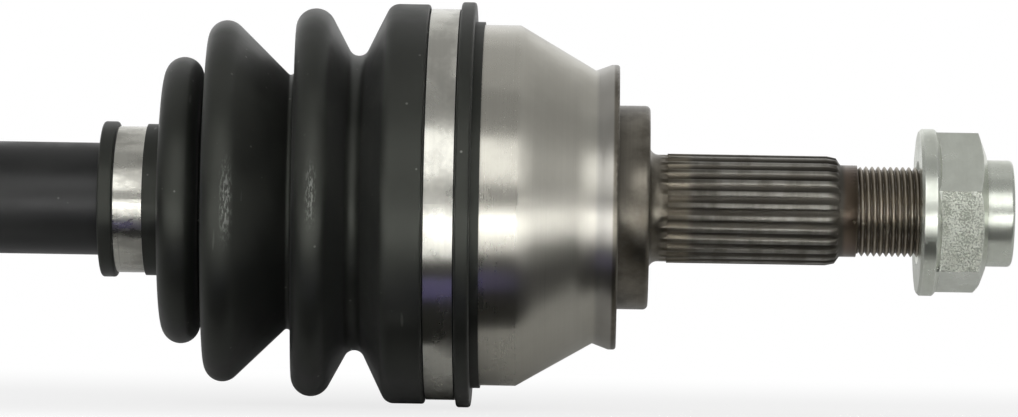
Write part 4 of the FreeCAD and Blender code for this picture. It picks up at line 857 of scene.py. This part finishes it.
# %% Housing with a narrowed thread
THREAD_START, THREAD_END = 50.6, 87.0
CREST, THREAD_ROOT, PITCH = 11.0, 10.05, 1.5
build = bmesh.new()
build.from_mesh(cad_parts["outer_joint_housing"].data)
bmesh.ops.remove_doubles(build, verts=build.verts, dist=1e-6)
narrowed = 0
for vert in build.verts:
    x, r = vert.co.x / MM, math.hypot(vert.co.y, vert.co.z) / MM
    if x > THREAD_START - 0.02 and THREAD_ROOT < r < CREST + 0.1:
        vert.co.y *= THREAD_ROOT / r
        vert.co.z *= THREAD_ROOT / r
        narrowed += 1
stub = finished("wheel_joint_housing", build, wheel_joint_steel, 30.0)
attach(stub, "outer_joint")
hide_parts("outer_joint_housing")
print("narrowed vertices:", narrowed)

# %% [markdown]
# A thread follows a rule, so geometry nodes make it. One side of a flat grid goes round the
# shaft, and the other goes along a closed section: out along the thread, and back inside it.
# Each point's place in the grid says which step of the section it is, and which share of a turn.

# %% Thread tree, sizes and grid
STEPS_A_PITCH = 10
THREAD_SIZES = {
    "Start": THREAD_START * MM, "End": THREAD_END * MM, "Crest Radius": CREST * MM,
    "Root Radius": THREAD_ROOT * MM, "Pitch": PITCH * MM, "Bevel": 1.4 * MM,
    "Sleeve Wall": 1.2 * MM, "Run In Slope": 0.9, "Flank Slope": 1.25, "Root Flat": 0.1,
    "Steps": int((THREAD_END - THREAD_START) / PITCH * STEPS_A_PITCH), "Around": 96}
START_GAP, END_GAP, LOWEST = 0.02 * MM, 0.05 * MM, 0.3 * MM

t, given, result = new_group("screw_thread", THREAD_SIZES, ["Mesh"], "GeometryNodeTree",
                             "NodeSocketGeometry")
around_section = t.math("ADD", given["Steps"], 3)
grid = t.add("GeometryNodeMeshGrid", {
    "Size X": 1.0, "Size Y": 1.0, "Vertices X": t.math("ADD", around_section, 1),
    "Vertices Y": t.math("ADD", given["Around"], 1)}).outputs["Mesh"]
place = t.add("SeparateXYZ", {0: t.add("GeometryNodeInputPosition").outputs[0]}).outputs
step = t.math("ROUND", t.math("MULTIPLY", t.math("ADD", place[0], 0.5), around_section))
step = t.math("FLOORED_MODULO", step, around_section)
share_of_turn = t.math("ADD", place[1], 0.5)
print("screw_thread:", len(t.tree.nodes), "nodes")

# %% [markdown]
# The thread's radius rises and falls once in each pitch along the shaft, and that shifts by one
# pitch in a turn. It tapers to the root at the bevelled end, and runs in at the other.

# %% Thread tree, radius
inside = t.math("GREATER_THAN", step, given["Steps"])
first = t.math("ADD", given["Start"], START_GAP)
last = t.math("SUBTRACT", given["End"], END_GAP)
share_of_length = t.blend(inside, t.math("DIVIDE", step, given["Steps"]),
                          t.math("SUBTRACT", t.math("ADD", given["Steps"], 2), step))
x = t.blend(share_of_length, first, last)
phase = t.math("FRACT", t.math("SUBTRACT", t.math("DIVIDE", x, given["Pitch"]), share_of_turn))
flank = t.math("ABSOLUTE", t.math("SUBTRACT", t.math("MULTIPLY", phase, 2), 1))
rise = t.math("SUBTRACT", t.math("MULTIPLY", flank, given["Flank Slope"]), given["Root Flat"])
rise = t.math("MINIMUM", 1, t.math("MAXIMUM", 0, rise))
bevel_line = t.math("SUBTRACT", t.math("ADD", given["Crest Radius"], t.math(
    "SUBTRACT", given["End"], given["Bevel"])), x)
run_in = t.math("ADD", given["Root Radius"], t.math(
    "MULTIPLY", t.math("SUBTRACT", x, given["Start"]), given["Run In Slope"]))
top = t.math("MINIMUM", given["Crest Radius"], t.math("MINIMUM", bevel_line, run_in))
top = t.math("MAXIMUM", t.math("SUBTRACT", given["Root Radius"], LOWEST), top)
radius = t.math("MINIMUM", top, t.blend(rise, given["Root Radius"], given["Crest Radius"]))
radius = t.blend(inside, radius, t.math(
    "SUBTRACT", given["Root Radius"], given["Sleeve Wall"]))
print("screw_thread:", len(t.tree.nodes), "nodes")

# %% [markdown]
# The grid is rolled up round the shaft. Its opposite edges then lie on each other, and merging
# them closes the sleeve.

# %% Thread tree, rolled up
angle = t.math("MULTIPLY", share_of_turn, math.tau)
rolled = t.vector(x, t.math("MULTIPLY", radius, t.math("COSINE", angle)),
                  t.math("MULTIPLY", radius, t.math("SINE", angle)))
mesh = t.add("GeometryNodeSetPosition", {"Geometry": grid, "Position": rolled}).outputs[0]
mesh = t.add("GeometryNodeMergeByDistance", {"Geometry": mesh, "Distance": 1e-6}).outputs[0]
mesh = t.add("GeometryNodeRealizeInstances", {"Geometry": mesh}).outputs[0]
mesh = t.add("GeometryNodeSetMaterial", {"Geometry": mesh, "Material": wheel_joint_steel})
t.give(result["Mesh"], mesh.outputs[0])
print("screw_thread:", len(t.tree.nodes), "nodes")


# %% Thread
def mesh_from_tree(tree, sizes):
    """The bmesh that a geometry tree makes with these sizes."""
    maker = bpy.data.objects.new("maker", bpy.data.meshes.new("maker"))
    bpy.context.scene.collection.objects.link(maker)
    modifier = maker.modifiers.new("maker", "NODES")
    modifier.node_group = tree
    for item in tree.interface.items_tree:
        if item.in_out == "INPUT":
            modifier[item.identifier] = sizes[item.name]
    evaluated = maker.evaluated_get(bpy.context.evaluated_depsgraph_get())
    plain = bpy.data.meshes.new_from_object(evaluated)
    build = bmesh.new()
    build.from_mesh(plain)
    bpy.data.objects.remove(maker)
    bpy.data.meshes.remove(plain)
    return build


thread = finished("stub_thread", mesh_from_tree(t.tree, THREAD_SIZES), wheel_joint_steel, 35.0)
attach(thread, "outer_joint")
print("thread faces:", len(thread.data.polygons))

# %% [markdown]
# ## Floor and background
# The shaft lies on a pale floor. Near the shaft the floor is lit and takes its shadow, and far
# away it turns into plain white, so that no horizon shows.

# %% Floor paint
SHAFT_MIDDLE, HALF_LENGTH = -0.19, 0.28
NEAR_WHITE = 0.8
FADE = (0.03, 0.25)
floor_paint, n, surface = new_material("floor_paint", Roughness=0.9, Specular_IOR_Level=0.1)
x, y, z = n.parts()
past_end = n.math("MAXIMUM", 0.0, n.math(
    "SUBTRACT", n.math("ABSOLUTE", n.math("SUBTRACT", x, SHAFT_MIDDLE)), HALF_LENGTH))
distance = n.math("SQRT", n.math("ADD", n.math("MULTIPLY", y, y),
                                 n.math("MULTIPLY", past_end, past_end)))
n.give(surface["Base Color"], shade((0.88, 0.88, 0.88)))
white = n.add("Emission", {"Color": shade((1, 1, 1)), "Strength": 1.0}).outputs[0]
painted = n.tree.nodes["Principled BSDF"].outputs[0]
seen = n.add("LightPath").outputs
shown = n.math("MAXIMUM", seen["Is Camera Ray"], seen["Is Transmission Ray"])
whiter = n.blend(n.span(distance, *FADE), NEAR_WHITE, 1.0)
mixed = n.add("MixShader", {0: n.math("MULTIPLY", whiter, shown), 1: painted, 2: white})
n.give(n.tree.nodes["Material Output"].inputs["Surface"], mixed.outputs[0])
print("floor_paint:", len(n.tree.nodes), "nodes")


# %% Floor
def sheet_on_floor(name, material, middle, size):
    """A flat rectangle of the studio, which isn't part of the object."""
    bpy.ops.mesh.primitive_plane_add(size=1.0)
    thing = bpy.context.object
    thing.name = name
    thing.data.transform(Matrix.Translation(middle) @ Matrix.Diagonal((*size, 1.0, 1.0)))
    dress(thing, material)
    return thing


UNDER_SHAFT = 0.0002
FLOOR_LEVEL = cad_box[0].z - UNDER_SHAFT
sheet_on_floor("studio_floor", floor_paint, (0, 0, FLOOR_LEVEL), (60.0, 60.0))
print("floor level:", round(FLOOR_LEVEL, 5))

# %% [markdown]
# The world is the white studio round the shaft. The camera sees it as plain white, and so does
# the metal that faces the backdrop, while it lights the shaft at a lower level.

# %% World
STUDIO_LEVEL = 0.36
BACKDROP = (0.45, 0.95)
world = bpy.data.worlds.new("studio")
world.use_nodes = True
world.node_tree.nodes.clear()
w = Nodes(world.node_tree)
seen = w.add("LightPath").outputs
ahead = w.add("SeparateXYZ", {0: w.add("TexCoord").outputs["Generated"]}).outputs[1]
glossy_white = w.math("MULTIPLY", seen["Is Glossy Ray"], w.span(ahead, *BACKDROP))
shown = w.math("MAXIMUM", w.math("MAXIMUM", seen["Is Camera Ray"], seen["Is Transmission Ray"]),
               glossy_white)
level = w.blend(shown, STUDIO_LEVEL, 1.0)
background = w.add("Background", {"Color": shade((1, 1, 1)), "Strength": level})
w.add("OutputWorld", {"Surface": background.outputs[0]})
bpy.context.scene.world = world
print("world:", len(w.tree.nodes), "nodes")


# %% [markdown]
# ## Lamps
# Two soft boxes and a beam on the floor light the shaft. The box in front gives the upper
# bright band on the turned steel. The beam lights the floor in front of the shaft, and its
# reflection is the broad bright band below the middle, as on a shaft that lies on white paper.

# %% Lamps
def soft_box(name, where, target, width, height, power, spread=180.0):
    """An area lamp of some width and height in metres, a power in watts, a spread in degrees."""
    data = bpy.data.lights.new(name, "AREA")
    data.shape = "RECTANGLE"
    data.size, data.size_y = width, height
    data.energy = power
    data.spread = math.radians(spread)
    lamp = bpy.data.objects.new(name, data)
    lamp.location = where
    aim = Vector(target) - Vector(where)
    lamp.rotation_euler = aim.to_track_quat("-Z", "Y").to_euler()
    bpy.context.scene.collection.objects.link(lamp)


soft_box("front_box", (-0.1, -1.08, 0.60), (-0.1, 0, 0), 2.2, 0.66, 5.7)
soft_box("top_box", (-0.15, 0.35, 1.25), (-0.15, 0, 0), 2.2, 1.2, 1.4)
soft_box("floor_beam", (-0.1, -0.41, 0.7), (-0.1, -0.41, 0), 2.2, 0.5, 11.5, 22.0)
print("lamps:", [lamp.name for lamp in bpy.data.lights])

# %% [markdown]
# A dark card lies on the floor in front of the shaft, out of the picture, where the floor would
# be in the shaft's shade. It is painted shadow: its edge shows in the metal as a dark band, and
# the part looks round. The card is seen in reflections only, and it casts no shadow. A strip of
# it in front of the bell and the boot is violet, a painted reflection that gives the polished
# steel there the cool tint that it has between its bright bands.

# %% Painted shadow card, its paint
STRIP_NEAR, STRIP_FAR = (-0.056, -0.062), (-0.080, -0.074)
STRIP_START, STRIP_END = (-0.200, -0.160), (-0.010, -0.016)
shadow_card_paint, n, surface = new_material("shadow_card_paint", Roughness=0.9, Specular_IOR_Level=0.0)
x, y, z = n.parts()
across = n.math("MULTIPLY", n.span(y, *STRIP_FAR), n.span(y, *STRIP_NEAR))
lengthwise = n.math("MULTIPLY", n.span(x, *STRIP_START), n.span(x, *STRIP_END))
# The card's gray is painted shadow, and its violet strip is a painted reflection.
n.give(surface["Base Color"], n.mix(n.math("MULTIPLY", across, lengthwise),
                                    shade((0.050, 0.050, 0.047)), shade((0.16, 0.145, 0.30))))
print("shadow_card_paint:", len(n.tree.nodes), "nodes")

# %% Painted shadow card
CARD_SIZE = (1.4, 0.071)
ABOVE_FLOOR = 0.0005
shadow_card = sheet_on_floor("painted_shadow_card", shadow_card_paint, (-0.15, -0.0695, FLOOR_LEVEL + ABOVE_FLOOR),
                      CARD_SIZE)
shadow_card.visible_camera = False
shadow_card.visible_diffuse = False
shadow_card.visible_shadow = False
print("card:", *CARD_SIZE, "m")

# %% [markdown]
# ## Camera
# The photograph was taken square to the shaft from a little over a metre away, with the wheel
# end in the frame. The camera is shifted, not turned, towards the rest of the shaft, and rolled
# by one degree, because the shaft was not quite level.

# %% Camera
IMAGE_WIDTH = 1018
FOCAL_PIXELS = 4969.0
SHIFT_PIXELS = -83.0
DISTANCE = 1.215
ROLL = math.radians(0.95)
lens = bpy.data.cameras.new("camera")
lens.sensor_width = 36.0
lens.lens = FOCAL_PIXELS / IMAGE_WIDTH * lens.sensor_width
lens.shift_x = SHIFT_PIXELS / IMAGE_WIDTH
lens.clip_start, lens.clip_end = 0.01, 100.0
camera = bpy.data.objects.new("camera", lens)
camera.location = (-0.0139, -DISTANCE, -0.0004)
level_view = Matrix.Rotation(math.radians(90), 3, "X")
camera.rotation_euler = (level_view @ Matrix.Rotation(ROLL, 3, "Z")).to_euler()
bpy.context.scene.collection.objects.link(camera)
bpy.context.scene.camera = camera
bpy.context.scene.view_settings.view_transform = "Standard"
print("focal length:", round(lens.lens, 1), "mm")

# %% Sizes and finish
print("cad box:", [[round(c, 4) for c in p] for p in cad_box])
